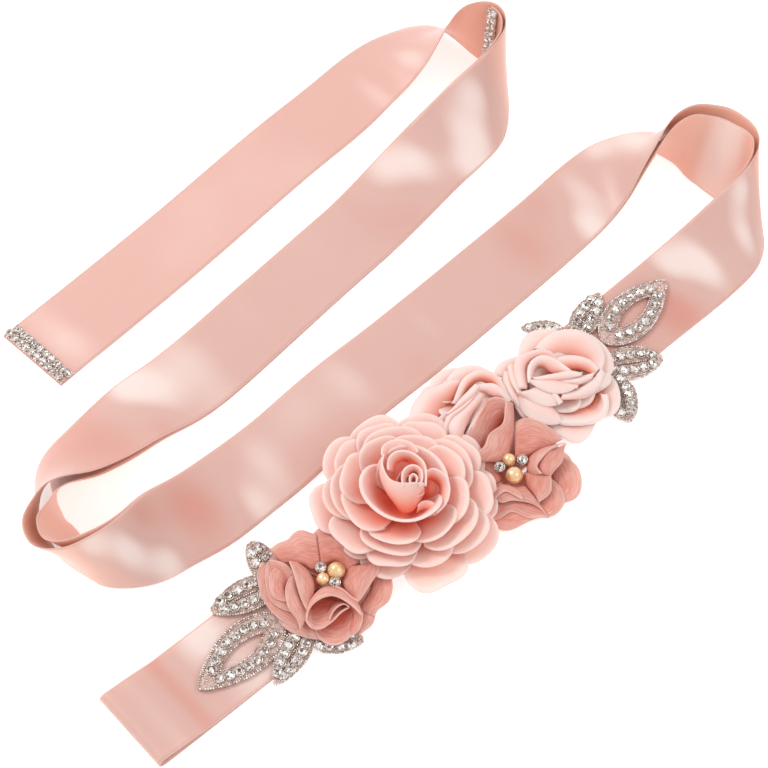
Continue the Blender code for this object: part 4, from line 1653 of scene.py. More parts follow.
UPPER_CRINKLE_FOLDS = (
    Fold("4", 1.2, 0.4, 0.15, (7, 7, 6, 6),
         ((81.5, -42.4), (85.1, -43.4), (87.7, -46.4), (89, -50.9), (89, -55.4), (87.9, -59.4),
          (85.1, -62.4), (81, -63.9)),
         ((71.9, -43.4), (74.1, -45.4), (75.4, -48), (75.7, -51), (75.6, -54), (74.6, -56.5),
          (73.2, -58.4), (71.3, -59.9))),
    Fold("4", 1.2, 0.4, 0.2, (9, 7, 8, 7),
         ((75, -52.9), (78.5, -56.2), (81, -60.5), (81.1, -63.8), (79.4, -67.1), (76.7, -69.9),
          (73, -71.2)),
         ((66.9, -54.4), (69.1, -56.3), (70.8, -58.7), (71.2, -61.1), (70.6, -63.5), (70.1, -65.4),
          (69.2, -66.8))),
    Fold("1", 0.5, 0.5, -0.1, (12, 13, 7, 7),
         ((34.5, -38.8), (37.3, -33.8), (41.1, -27.7), (44, -20.1), (47.3, -15.5), (51.9, -14),
          (55.5, -15.9), (57.7, -19.9)),
         ((44.6, -41.9), (46.5, -37.8), (48.9, -34.3), (51.3, -29.7), (53.3, -25.6), (55.2, -23),
          (56.6, -21.4), (58, -20.9))),
    Fold("5", 1.8, 0.4, 0.15, (10, 9, 9, 8),
         ((60, -26.1), (61.9, -24.2), (66.1, -23), (71.5, -24.7), (76.9, -28.7), (81.2, -33.7)),
         ((59.5, -42.8), (60.9, -43), (63.2, -42.7), (65.9, -41.5), (68.7, -39.9), (72, -38.1))),
    Fold("1", 1, 0.5, 0.5, (15, 14, 10, 11),
         ((38.7, -47.5), (42.4, -43.2), (46.1, -39.1), (48.3, -33.4), (51.4, -30.8), (54.2, -28.5),
          (55.7, -22.5), (56.4, -16.3)),
         ((52.1, -45.3), (53.9, -44.4), (55.8, -43), (57.2, -39.5), (58.3, -34.5), (59.2, -28.5),
          (59.6, -21.9), (59.3, -15.7))),
    Fold("2", 0.8, 0.4, -0.2, (9, 9, 8, 8),
         ((42.6, -45.1), (44.8, -48.9), (47, -52.9), (48.4, -57.3)),
         ((52.7, -43.9), (53.1, -46.9), (53.4, -49.9), (53.8, -53.4))),
    Fold("3", 0.8, 0.4, 0.05, (6.5, 6.5, 7, 7),
         ((45.8, -69.5), (47.9, -73.4), (51, -76.6), (54.5, -77.3), (58.1, -76.4), (63.1, -73.7),
          (68.1, -71.5), (73.1, -70.5)),
         ((47.6, -66.3), (50.7, -68.3), (53.9, -68.3), (57, -66.8), (60.2, -66.8), (63.8, -67.3),
          (67.3, -67.8), (70.5, -67.3))),
    Fold("3", 0.6, 0.4, -0.05, (9, 8, 8, 7.5),
         ((43.9, -68.2), (47, -71.6), (50.1, -72.7), (53.7, -71), (56.9, -69), (60.9, -70.1),
          (65.3, -71.8), (69.8, -71.5), (73.8, -71.7)),
         ((47.3, -60.4), (50.4, -61.3), (53.5, -62.3), (57.1, -62.2), (60.7, -62.2), (64.8, -63.2),
          (67.9, -64.6), (70.1, -66.1), (72.2, -68))),
    Fold("3", 1.2, 0.5, 0.3, (12, 9, 10, 9),
         ((46.5, -64.7), (49.7, -63.7), (52.4, -65.5), (56, -64.6), (61, -64.4), (65.4, -65.2),
          (69.4, -67.4), (72.9, -71.1)),
         ((50.9, -56.3), (53.6, -56.3), (55.8, -57.2), (58.5, -57.6), (60.8, -57.5), (63.1, -57),
          (64.4, -58.4), (66.5, -61.3))),
    Fold("3", 0.8, 0.4, 0.5, (13, 12, 10.5, 10),
         ((49.2, -65.1), (51.9, -62), (54.7, -60.7), (58.2, -62.3), (62.2, -64.4)),
         ((48.1, -60.5), (51.7, -57.5), (54.9, -56.9), (58.5, -57.9), (62, -59.8))),
    Fold("2", 0.8, 0.4, 0.15, (10, 9, 9, 8),
         ((48.2, -57.8), (46.5, -61.6), (45.3, -65.4), (43.9, -69.2)),
         ((53.7, -54.4), (52.3, -57.7), (50.4, -60.5), (48.1, -63.8))),
    Fold("4", 1.8, 0.5, 0.2, (12, 11, 9, 9.5),
         ((74.7, -53.3), (75, -57.1), (74.5, -60.5), (72.1, -63.3), (69, -65.2)),
         ((63.3, -49.9), (63.4, -53.4), (64.4, -57), (66.1, -59.5), (68.3, -62.5))),
    Fold("4", 1.2, 0.4, 0.45, (11, 12, 14, 12),
         ((82.8, -36.5), (81.4, -40.9), (80.5, -45.6), (77.6, -49.4), (74.7, -53.3)),
         ((74.6, -42.3), (71.8, -45.5), (69.9, -48.3), (70.3, -50.5), (72.5, -52.8))),
    Fold("4", 1, 0.5, 0.2, (15, 14, 10, 9),
         ((81.5, -38), (76.9, -39.6), (72.7, -42.8), (69.9, -46.2), (68.2, -49.4), (70.5, -53.2)),
         ((71.4, -39.5), (68.6, -40.7), (66.3, -42.6), (64.8, -45.6), (64.7, -48.5), (66.4, -51.9))),
)

LOWER_CRINKLE_FOLDS = (
    Fold("5", 0.8, 0.4, 0.15, (7, 7, 7, 7),
         ((-1.8, -93.9), (0.9, -96.3), (2.9, -100.1), (3.5, -104.4), (2.9, -108.6), (0.9, -112.4),
          (-2.6, -115.2), (-4.8, -118.4)),
         ((-7.1, -97.8), (-5.7, -100.6), (-5.3, -103.4), (-6.2, -106.3), (-7.5, -109.1),
          (-8.8, -111.4), (-10.1, -113.8), (-10.9, -116.1))),
    Fold("5", 0.8, 0.4, 0.2, (6, 6, 6, 6),
         ((-3.9, -114.3), (-4.2, -118.5), (-5.7, -122.2), (-8.3, -124.5), (-10.9, -126.4)),
         ((-9.6, -112.4), (-10.1, -115.7), (-10.9, -118.5), (-12.2, -120.8), (-14, -122.7))),
    Fold("1", 1.8, 0.4, 0.2, (9.5, 9.5, 9, 9),
         ((-30.3, -79.1), (-25.8, -76.7), (-20.5, -78.2), (-15.1, -82.5), (-10.6, -88.3), (-9.3, -93.1)),
         ((-27.8, -95.7), (-25.6, -94.8), (-23, -93.8), (-20.3, -93.8), (-18.1, -95.3), (-16.7, -98.1))),
    Fold("2", 1.8, 0.4, 0.25, (10, 10, 9.5, 9.5),
         ((-50.4, -88.5), (-46.5, -85.2), (-42.6, -83.5), (-40.4, -80.8), (-36.9, -79.1),
          (-33.3, -80.1), (-30, -81.5)),
         ((-44.6, -95), (-41, -94.5), (-37.5, -95), (-34.4, -95.9), (-31.7, -97.4), (-29.5, -97.1),
          (-28, -95.9))),
    Fold("3", 0.8, 0.4, 0.3, (6.5, 6.5, 7.5, 7.5),
         ((-53.6, -92.8), (-55.7, -98), (-55.1, -103.7), (-53.6, -108.9), (-50.3, -114.5),
          (-46.3, -118.7), (-41.9, -122), (-37, -124.7)),
         ((-46.8, -98), (-48, -101.8), (-47.9, -105.1), (-47, -108.4), (-44.7, -111.6), (-42, -114.4),
          (-39.3, -116.8), (-36.6, -119.6))),
    Fold("3", 0.8, 0.4, 0.3, (9, 9, 9.5, 9.5),
         ((-51.2, -93.8), (-52.2, -98.6), (-51.8, -103.8), (-50.8, -108.5), (-48.1, -113.2),
          (-44.5, -115.7), (-40.1, -117.1)),
         ((-45.3, -99.7), (-46.1, -102.6), (-46, -105.9), (-45.1, -108.7), (-43.3, -111),
          (-41.5, -112.9), (-39.3, -114.3))),
    Fold("3", 0.8, 0.4, 0.15, (12, 12, 9.5, 9.5),
         ((-50.2, -94.4), (-46.2, -95.1), (-42.6, -97), (-40.1, -100.8)),
         ((-49.3, -98.8), (-46.2, -99.3), (-44, -101.2), (-42.1, -104))),
    Fold("3", 1, 0.4, 0.1, (11, 11, 9.5, 9.5),
         ((-45.8, -96.1), (-48.8, -98.9), (-50, -103.2), (-49.4, -107.9), (-47.1, -111.4),
          (-42.3, -112.8)),
         ((-40.4, -101.2), (-41.7, -102.6), (-42.6, -104.5), (-43, -106.3), (-42.5, -108.2),
          (-41.1, -110.1))),
    Fold("4", 1.2, 0.5, 0.6, (13, 11, 12, 11),
         ((-39.4, -101.6), (-41.8, -104.3), (-42.8, -108.4), (-42.2, -113.4), (-40.4, -117.9),
          (-37.7, -121.3), (-36.1, -126)),
         ((-38.1, -103.6), (-38, -106.8), (-37.1, -110), (-35.7, -113.2), (-34.4, -115.9),
          (-33.5, -118.7), (-34.3, -122.7))),
    Fold("2", 1, 0.5, 0.45, (16, 14, 11, 11),
         ((-40.9, -96.3), (-39.3, -100.4), (-37.9, -105.4), (-36.5, -110.3), (-34.7, -114.8),
          (-32.7, -118.4)),
         ((-38.3, -94.7), (-34.7, -97.5), (-31.6, -101.8), (-30.4, -106), (-31, -110.7), (-32.4, -115.8))),
    Fold("5", 1.6, 0.5, 0.25, (13, 12, 9.5, 9.5),
         ((-3.5, -95.3), (-2.4, -98.3), (-4.4, -102.4), (-7, -106.6), (-9.6, -110.7), (-11.8, -113.4)),
         ((-15.4, -96.4), (-16.7, -98.8), (-17.8, -101.6), (-18.4, -104), (-17.1, -107.3),
          (-14.4, -110.6))),
    Fold("4", 0.6, 0.3, 0, (6.5, 6.5, 7, 7),
         ((-37.4, -124.7), (-33.5, -126.1), (-29.5, -128), (-25.6, -130.2)),
         ((-35.3, -119.8), (-33.1, -121.7), (-30.5, -123.5), (-27.4, -125.4))),
    Fold("4", -0.6, 0.4, -0.3, (8, 8, 8, 8.5),
         ((-29.8, -124.4), (-28, -128.5), (-24.2, -131.3), (-20.8, -131.7), (-17.3, -130.1),
          (-14.5, -127.6), (-13.3, -123.4), (-13.1, -118.4)),
         ((-27.4, -122.5), (-25.2, -121.6), (-23.1, -120.3), (-20.9, -118.9), (-18.8, -116.6),
          (-16.6, -115.2), (-15.3, -114.8), (-14.4, -114.8))),
    Fold("4", 0.8, 0.4, 0.2, (10, 8, 9, 8),
         ((-9.6, -117.7), (-9.8, -122.1), (-11.3, -125.5), (-13.9, -127.6)),
         ((-14.8, -114.1), (-13.5, -118.1), (-13.7, -122.2), (-14.8, -125.8))),
    Fold("4", -0.8, 0.5, -0.3, (12, 12, 7, 8),
         ((-33.8, -121.3), (-31.8, -124.7), (-28.5, -125.9), (-25.1, -124.3), (-21.7, -121.5),
          (-18.7, -118.3), (-15.4, -116.2)),
         ((-32.4, -113.8), (-29.8, -111), (-26.7, -110.2), (-23.7, -110.2), (-20.6, -111.2),
          (-17.9, -112.2), (-15.3, -113.7))),
    Fold("4", -0.4, 0.4, 0, (13, 13, 9, 9),
         ((-23.8, -122.1), (-22.1, -118.4), (-20, -116.1), (-17.4, -115), (-14.8, -116.6)),
         ((-24.8, -117.4), (-23.1, -114.1), (-21, -112.2), (-17.9, -111.8), (-14.9, -113.6))),
    Fold("4", 0.8, 0.6, 0.5, (16, 14.5, 11, 10),
         ((-33.6, -123.3), (-33.1, -119.1), (-30.8, -115.3), (-27.3, -112.7), (-23, -111.4),
          (-19.1, -112.3), (-15.6, -114.5), (-12.1, -117.5), (-9.5, -120.4)),
         ((-33.1, -117.2), (-31.8, -113), (-29.7, -109.2), (-27.1, -106.8), (-24.1, -106),
          (-20.6, -106.7), (-17.1, -109), (-13.5, -111.7), (-10.5, -115))),
    Fold("5", 0.4, 0.4, 0.55, (14, 13, 12, 11),
         ((-21.4, -107.4), (-17.4, -109.4), (-13.9, -112.5), (-11.3, -113.8)),
         ((-21.8, -107.8), (-17.9, -110.5), (-14.4, -113.6), (-10.9, -115.3))),
)

ROSE_BUD_FOLDS = (
    Fold("cup", 0.8, 0.5, 0.2, (31, 31, 24, 24),
         ((-0.4, -52.5), (0, -48.1), (3.1, -45.6), (8, -45.1), (12.4, -47.1), (14.6, -51)),
         ((2.7, -56), (4, -53.5), (5.8, -52.1), (8.5, -51.6), (11.1, -52.6), (12.9, -55))),
    Fold("cup", 0.6, 0.5, 0.1, (29, 27, 23, 21),
         ((17.6, -60.3), (21.6, -58.2), (25.6, -60), (28, -64.2), (28.1, -69.4), (26.3, -74.1),
          (22.7, -77.8)),
         ((17.7, -61.4), (20, -60.3), (22.6, -61.1), (24.4, -63.4), (24.3, -66.6), (23, -69.9),
          (19.9, -72.2))),
    Fold("cup", 0.5, 0.4, 0.3, (25, 25, 21, 21),
         ((14.9, -74.5), (17.6, -72), (20.7, -72.3), (23.3, -75.4), (21.5, -78.3)),
         ((14.1, -76), (15.9, -74.6), (18.1, -74.1), (20.3, -75.5), (19.8, -77.9))),
    Fold("bud", 0.4, 0.5, 0.15, (34, 32, 28, 27),
         ((2.2, -60.8), (2.6, -55.3), (5.3, -52.2), (9.3, -51.6), (13.7, -53.4), (17.2, -57.2),
          (18, -62.4), (17.7, -67.6)),
         ((4.4, -59.9), (5.3, -55.4), (7.5, -53.4), (10.6, -52.8), (13.3, -54.2), (15.5, -57.1),
          (15.9, -60.9), (15.4, -65.7))),
    Fold("bud", 0.3, 0.4, 0.3, (34, 33, 28, 28),
         ((8.7, -68.5), (8.3, -63.1), (10.1, -59.6), (13.2, -58.6), (15.8, -60.4), (16.4, -64.2),
          (15.3, -68)),
         ((10.6, -65.7), (10.6, -61.3), (11.9, -59.4), (13.2, -58.9), (14.6, -59.9), (15, -62.3),
          (13.6, -65.7))),
    Fold("bud", 0.2, 0.3, 0.3, (34, 34, 28, 28),
         ((11.8, -68), (11.6, -64.2), (12.7, -62.9), (14, -63.7), (13.8, -67)),
         ((12.8, -65.7), (12.6, -63.3), (13, -62.3), (13.4, -62.8), (13.4, -65.2))),
    Fold("bud", 2.2, 0.4, 0.35, (36, 33, 27, 22),
         ((-0.4, -54.2), (-1.1, -58.6), (0.2, -62.8), (2.6, -65.9), (5.7, -67.1), (10.5, -67.3),
          (14.4, -67), (17.5, -67.3)),
         ((-0.7, -56.5), (0, -62), (2, -67), (4.8, -72.5), (8.6, -77), (12.3, -75.9), (15.6, -71.7),
          (17.9, -66.3))),
)


# Beads and stones


class Beads:
    """Many small solids of one form, gathered in one mesh with a glint for each face."""

    def __init__(self, seed: int) -> None:
        """Start an empty gathering whose glints follow from the seed.

        Args:
            seed: What the glints follow from.
        """
        self.chance = np.random.default_rng(seed)
        self.points: list[np.ndarray] = []
        self.faces: list[tuple[int, ...]] = []
        self.glints: list[float] = []
        self.count = 0

    def add(self, points: np.ndarray, faces: Sequence[tuple], even: bool) -> None:
        """Add one solid.

        Args:
            points: Its corners, in millimetres in the tables' frame.
            faces: Its faces.
            even: Whether all of its faces share one glint.
        """
        one = self.chance.random()
        self.points.append(points)
        for face in faces:
            self.faces.append(tuple(i + self.count for i in face))
            self.glints.append(one if even else self.chance.random())
        self.count += len(points)

    def build(self, name: str, smooth: bool) -> bpy.types.Object:
        """Return the gathering as one object.

        Args:
            name: The object's name.
            smooth: Whether its faces are shaded smooth.

        Returns:
            The object.
        """
        mesh = bpy.data.meshes.new(name)
        points = moved(np.concatenate(self.points)) * MM
        mesh.from_pydata(points.tolist(), [], self.faces)
        made = mesh.attributes.new("glint", "FLOAT", "FACE")
        made.data.foreach_set("value", np.array(self.glints))
        if smooth:
            mesh.shade_smooth()
        obj = bpy.data.objects.new(name, mesh)
        bpy.context.collection.objects.link(obj)
        return obj


def lathe(profile: Sequence[tuple], sides: int, twist: bool = False) -> tuple:
    """Return the corners and faces of a solid turned about +Z.

    Args:
        profile: Radius and height of each ring, from its foot to its top.
        sides: How many corners each ring has.
        twist: Whether every other ring is turned by half a side.

    Returns:
        Corners and faces, closed at both ends.
    """
    points, faces = [], []
    for k, (radius, height) in enumerate(profile):
        start = math.pi / sides * (k % 2 if twist else 0)
        for i in range(sides):
            turn = start + 2 * math.pi * i / sides
            points.append((radius * math.cos(turn), radius * math.sin(turn), height))
    for k in range(len(profile) - 1):
        for i in range(sides):
            a, b = k * sides + i, k * sides + (i + 1) % sides
            if twist and k % 2 == 0:
                faces += [(a, b, a + sides), (b, b + sides, a + sides)]
            elif twist:
                faces += [(a, b, b + sides), (a, b + sides, a + sides)]
            else:
                faces.append((a, b, b + sides, a + sides))
    last = (len(profile) - 1) * sides
    faces.append(tuple(reversed(range(sides))))
    faces.append(tuple(range(last, last + sides)))
    return np.array(points), faces


BEAD_FORM = lathe(((0.35, -0.85), (0.9, -0.45), (1.0, 0.1), (0.75, 0.65), (0.3, 0.9)), 7)
GEM_FORM = lathe(((0.3, -0.5), (0.95, 0.0), (0.98, 0.12), (0.74, 0.40), (0.36, 0.60)), 8, True)
CUP_FORM = lathe(((0.8, -0.7), (1.08, -0.6), (1.12, 0.15), (0.98, 0.18), (0.9, -0.3)), 12)
PRONG_FORM = lathe(((0.17, -0.3), (0.2, 0.1), (0.14, 0.32)), 6)


@dataclass(frozen=True)
class SetStone:
    """A cut stone in a metal cup with four prongs."""

    radius: float

    def add(self, gems: Beads, cups: Beads, place: np.ndarray, frame: np.ndarray) -> None:
        """Add the stone and its cup.

        Args:
            gems: The gathering of stones.
            cups: The gathering of cups.
            place: The middle of the cup.
            frame: The directions across, along and up, as rows.
        """
        spin = gems.chance.uniform(0, math.pi)
        turned = np.array([[math.cos(spin), math.sin(spin), 0],
                           [-math.sin(spin), math.cos(spin), 0], [0, 0, 1]])
        points, faces = GEM_FORM
        gems.add(place + (points * self.radius) @ turned @ frame, faces, False)
        points, faces = CUP_FORM
        cups.add(place + (points * self.radius) @ frame, faces, True)
        points, faces = PRONG_FORM
        for k in range(4):
            way = spin + math.pi / 4 + k * math.pi / 2
            foot = np.array([math.cos(way) * 0.92, math.sin(way) * 0.92, 0.16])
            cups.add(place + ((points + foot) * self.radius) @ frame, faces, True)


@dataclass
class Gems:
    """The gatherings of one beaded piece, and the materials that they get."""

    seed: int
    stone: bpy.types.Material
    metal: bpy.types.Material
    glass: bpy.types.Material

    def __post_init__(self) -> None:
        """Start empty gatherings of stones, cups and seed beads."""
        self.gems = Beads(self.seed)
        self.cups = Beads(self.seed + 1)
        self.seeds = Beads(self.seed + 2)

    def stone_at(self, radius: float, place: np.ndarray, frame: np.ndarray | None = None) -> None:
        """Set a stone of a radius at a place."""
        SetStone(radius).add(self.gems, self.cups, place, np.eye(3) if frame is None else frame)

    def bead_line(self, path: np.ndarray, radius: float, pitch: float, closed: bool) -> None:
        """Sew seed beads along a path.

        Args:
            path: The path's points.
            radius: The beads' radius.
            pitch: The distance from bead to bead.
            closed: Whether the path comes back to its start.
        """
        way = np.vstack([path, path[:1]]) if closed else path
        far = walked(way)
        count = max(2, round(far[-1] / pitch))
        places = np.linspace(0, far[-1], count, endpoint=not closed)
        middle = np.stack([np.interp(places, far, way[:, k]) for k in range(3)], axis=1)
        points, faces = BEAD_FORM
        for place in middle:
            tilt = self.seeds.chance.uniform(-0.12, 0.12, 3) * radius
            size = radius * self.seeds.chance.uniform(0.9, 1.1)
            self.seeds.add(place + tilt * np.array([1, 1, 0.4]) + points * size, faces, True)

    def build(self, name: str) -> list[bpy.types.Object]:
        """Return the gatherings as pieces on the root.

        Args:
            name: How the pieces' names begin.

        Returns:
            The pieces.
        """
        pieces = []
        for part, gathered, material, smooth in (
            ("stones", self.gems, self.stone, False),
            ("cups", self.cups, self.metal, True),
            ("seeds", self.seeds, self.glass, True),
        ):
            if gathered.points:
                obj = gathered.build(f"{name}_{part}", smooth)
                pieces.append(dress(obj, material))
        return pieces


@dataclass
class BeadedLeaf:
    """A leaf of stones and seed beads on sheer backing, open in its middle or filled."""

    name: str
    tip: tuple
    foot: tuple
    half_width: float
    opening: float
    blunt: float = 0.75
    replaced: bool = True
    stone: float = 2.3
    seam: float = 0.35

    def __post_init__(self) -> None:
        """Find the leaf's length and its directions along and across."""
        tip, foot = np.array(self.tip, float), np.array(self.foot, float)
        self.length = float(np.linalg.norm(tip - foot))
        self.along = (tip - foot) / self.length
        self.across = np.array([-self.along[1], self.along[0]])
        self.start = foot

    def half(self, share: np.ndarray) -> np.ndarray:
        """Return half the leaf's width at shares of its length."""
        return self.half_width * np.sin(np.pi * np.clip(share, 0, 1) ** 0.8) ** self.blunt

    def plan(self, share: np.ndarray, side: float, inset: np.ndarray) -> np.ndarray:
        """Return places seen from above.

        Args:
            share: Shares of the leaf's length.
            side: 1 on the left side of the leaf and -1 on its right side.
            inset: 0 at the leaf's outline and 1 at its opening or its middle line.

        Returns:
            The places, across and away.
        """
        inner_share = 0.24 + 0.50 * share if self.opening else share
        inner_half = self.opening * np.sin(np.pi * np.clip(share, 0, 1)) ** 0.75
        half = self.half(share) + (inner_half - self.half(share)) * inset
        way = share + (inner_share - share) * inset
        flat = (way * self.length)[..., None] * self.along
        return self.start + flat + (side * half)[..., None] * self.across

    def on_ribbon(self, ribbon: SashRibbon, plan: np.ndarray, height: float) -> np.ndarray:
        """Return places at a height above the ribbon's top face."""
        level = ribbon.top_at(plan) + self.seam + height
        return np.concatenate([plan, level[..., None]], axis=-1)

    def build(self, ribbon: SashRibbon, backing: bpy.types.Material, gems: Gems,
              nodes: Sequence[str]) -> list[bpy.types.Object]:
        """Make the backing, the stones and the beads.

        Args:
            ribbon: The ribbon that the leaf lies on.
            backing: The backing's material.
            gems: The gatherings for this leaf.
            nodes: The node that the leaf replaces, if it has one.

        Returns:
            The leaf's pieces.
        """
        share = np.linspace(0.0, 1.0, 45)[:, None]
        inset = np.linspace(0, 1, 7)[None, :]
        sides = []
        for side in (1.0, -1.0):
            plan = self.plan(share * np.ones_like(inset), side, inset * np.ones_like(share))
            crown = 0.45 + 0.35 * (1 - (2 * inset - 1) ** 2) * np.ones_like(share)
            sides.append(self.on_ribbon(ribbon, plan, 0.0) + crown[..., None] * [0, 0, 1])
        if self.opening:
            grids = sides
        else:
            grids = [np.concatenate([sides[0], sides[1][:, ::-1]], axis=1)]
        cloth = Cloth(self.name, grids, [part[..., :2] for part in grids]).thick(0.7)
        pieces = [dress(cloth.obj, backing, nodes)]
        self._sew(ribbon, gems)
        return pieces + gems.build(self.name)

    def _sew(self, ribbon: SashRibbon, gems: Gems) -> None:
        """Sew the beads along the borders and the stones along each side.

        Args:
            ribbon: The ribbon under the leaf.
            gems: The gatherings that take the beads and stones.
        """
        share = np.linspace(0.01, 0.99, 80)
        ones = np.ones_like(share)
        left = self.plan(share, 1.0, ones * 0.03)
        right = self.plan(share, -1.0, ones * 0.03)
        outline = np.concatenate([left, right[::-1]])
        gems.bead_line(self.on_ribbon(ribbon, outline, 1.0), 0.58, 1.15, True)
        depth = min(0.3, 1.5 / self.half_width)
        second = share[6:-6]
        left = self.plan(second, 1.0, np.ones_like(second) * depth)
        right = self.plan(second, -1.0, np.ones_like(second) * depth)
        second = np.concatenate([left, right[::-1]])
        gems.bead_line(self.on_ribbon(ribbon, second, 1.1), 0.48, 1.0, True)
        if self.opening:
            inner = np.concatenate([self.plan(share, 1.0, ones * 0.97),
                                    self.plan(share, -1.0, ones * 0.97)[::-1]])
            gems.bead_line(self.on_ribbon(ribbon, inner, 1.0), 0.5, 1.05, True)
        elif self.half_width > 5:
            rib = self.plan(share[8:-10], 1.0, np.ones(len(share) - 18))
            gems.bead_line(self.on_ribbon(ribbon, rib, 1.2), 0.48, 1.05, False)
        sides = (1.0, -1.0) if self.half_width > 5 else (1.0,)
        depth = 0.53 if self.opening else (0.55 if len(sides) == 2 else 1.0)
        for side in sides:
            path = self.plan(share, side, ones * depth)
            far = walked(path)
            first, last = 3.2, far[-1] - (5.5 if len(sides) == 2 and not self.opening else 3.4)
            count = max(1, round((last - first) / 4.75) + 1)
            for place in np.linspace(first, last, count):
                plan = np.array([np.interp(place, far, path[:, k]) for k in (0, 1)])
                spot = self.on_ribbon(ribbon, plan[None], 1.9)[0]
                gems.stone_at(self.stone, spot)


@dataclass
class EndTrim:
    """Two staggered rows of stones in cups across a cut end of the ribbon."""

    name: str
    inset: float = 0.9
    stones: int = 10
    radius: float = 1.75
    rows_apart: float = 3.6

    def build(self, ribbon: SashRibbon, second: bool, gems: Gems,
              backing: bpy.types.Material) -> list[bpy.types.Object]:
        """Make the trim.

        Args:
            ribbon: The ribbon whose end it is sewn on.
            second: Whether it is the second end, on the face of the layer underneath.
            gems: The gatherings for this trim.
            backing: The band under the stones.

        Returns:
            The trim's pieces, the first of which replaces its node.
        """
        start = ribbon.starts["top_turn"] + ribbon.second_end if second else 0.0
        steps = start + self.inset + np.linspace(0.0, 7.4, 9)
        outer, inner, width, up = ribbon.rows(steps)
        middle, face = (inner, -up) if second else (outer, up)
        across = np.linspace(-0.5, 0.5, 24) * (ribbon.width - 1.5)
        band = middle[:, None] + face[:, None] * 1.0 + width[:, None] * across[None, :, None]
        plan = np.stack(np.broadcast_arrays(across[None, :], steps[:, None]), axis=-1)
        base = Cloth(self.name, [band], [plan]).thick(0.5)
        node = "second_end_trim" if second else "first_end_trim"
        pieces = [dress(base.obj, backing, (node,))]
        pitch = (ribbon.width - 2.0) / self.stones
        for row in (0, 1):
            at = start + self.inset + 1.9 + row * self.rows_apart
            outer, inner, width, up = ribbon.rows(np.array([at]))
            middle, face = (inner, -up) if second else (outer, up)
            frame = np.array([width[0], np.cross(face[0], width[0]), face[0]])
            for k in range(self.stones):
                aside = (k + 0.25 + 0.5 * row - self.stones / 2) * pitch
                place = middle[0] + width[0] * aside + face[0] * 2.2
                gems.stone_at(self.radius, place, frame)
        for edge in (0.0, 7.4):
            outer, inner, width, up = ribbon.rows(np.array([start + self.inset + edge]))
            middle, face = (inner, -up) if second else (outer, up)
            line = middle[0] + face[0] * 1.4 + width[0] * across[:, None]
            gems.bead_line(line, 0.5, 1.3, False)
        return pieces + gems.build(self.name)


@dataclass
class FlowerMiddle:
    """The pearls and stones in the middle of a crinkled flower."""

    name: str
    node: str
    x: float
    y: float
    pearls: tuple
    stones: tuple
    height: float = 11.2

    def build(self, pearl: bpy.types.Material, gems: Gems) -> list[bpy.types.Object]:
        """Make the pearls and the stones beside them.

        Args:
            pearl: The pearls' material.
            gems: The gatherings for this flower.

        Returns:
            The pieces, the first of which replaces the pearls' node.
        """
        beads = Beads(3)
        rings = [(math.sin(math.pi * k / 18), -math.cos(math.pi * k / 18)) for k in range(1, 18)]
        points, faces = lathe(rings, 28)
        for x, y, radius in self.pearls:
            place = np.array([self.x + x, self.y + y, self.height])
            beads.add(place + points * radius, faces, True)
        obj = beads.build(self.name, True)
        pieces = [dress(obj, pearl, (self.node,))]
        for x, y in self.stones:
            gems.stone_at(2.3, np.array([self.x + x, self.y + y, self.height + 0.8]))
        return pieces + gems.build(self.name)


@dataclass
class Studio:
    """The pale table, the soft lights and the camera at the photograph's angle."""

    lens: float = 90.0
    distance: float = 0.9
    elevation: float = 62.0

    def build(self) -> None:
        """Make the table, the lights, the sky and the camera."""
        self._table()
        self._lights()
        self._camera()
        scene = bpy.context.scene
        scene.view_settings.view_transform = "Standard"
        scene.view_settings.look = "None"

    def _table(self) -> None:
        """Lay the table top under the sash."""
        mesh = bpy.data.meshes.new("Table_top")
        corners = [(-3, -3, -0.0002), (3, -3, -0.0002), (3, 3, -0.0002), (-3, 3, -0.0002)]
        mesh.from_pydata(corners, [], [(0, 1, 2, 3)])
        table = bpy.data.objects.new("Table_top", mesh)
        bpy.context.collection.objects.link(table)
        mesh.materials.append(PaleTable().material())

    def _lights(self) -> None:
        """Hang the soft boxes and light the room evenly."""
        world = bpy.data.worlds.new("Room")
        world.use_nodes = True
        world.node_tree.nodes["Background"].inputs["Color"].default_value = (1, 1, 1, 1)
        world.node_tree.nodes["Background"].inputs["Strength"].default_value = 0.86
        bpy.context.scene.world = world
        for name, place, size, power in (
            ("Window_box", (-0.85, 0.45, 1.1), (0.4, 0.3), 7.0),
            ("Fill_box", (0.9, -0.3, 1.2), (0.8, 0.8), 2.5),
        ):
            data = bpy.data.lights.new(name, "AREA")
            data.shape = "RECTANGLE"
            data.size, data.size_y = size
            data.energy = power
            lamp = bpy.data.objects.new(name, data)
            lamp.location = place
            away = -np.array(place)
            lamp.rotation_euler = (
                math.atan2(math.hypot(away[0], away[1]), -away[2]),
                0.0,
                math.atan2(away[0], -away[1]) + math.pi,
            )
            bpy.context.collection.objects.link(lamp)

    def _camera(self) -> None:
        """Set the camera where the photograph was taken from."""
        data = bpy.data.cameras.new("Camera")
        data.lens = self.lens
        data.sensor_width = 36.0
        camera = bpy.data.objects.new("Camera", data)
        angle = math.radians(self.elevation)
        camera.location = (
            -ORIGIN[0] * MM,
            -ORIGIN[1] * MM - math.cos(angle) * self.distance,
            math.sin(angle) * self.distance,
        )
        camera.rotation_euler = (math.radians(90 - self.elevation), 0, 0)
        bpy.context.collection.objects.link(camera)
        bpy.context.scene.camera = camera


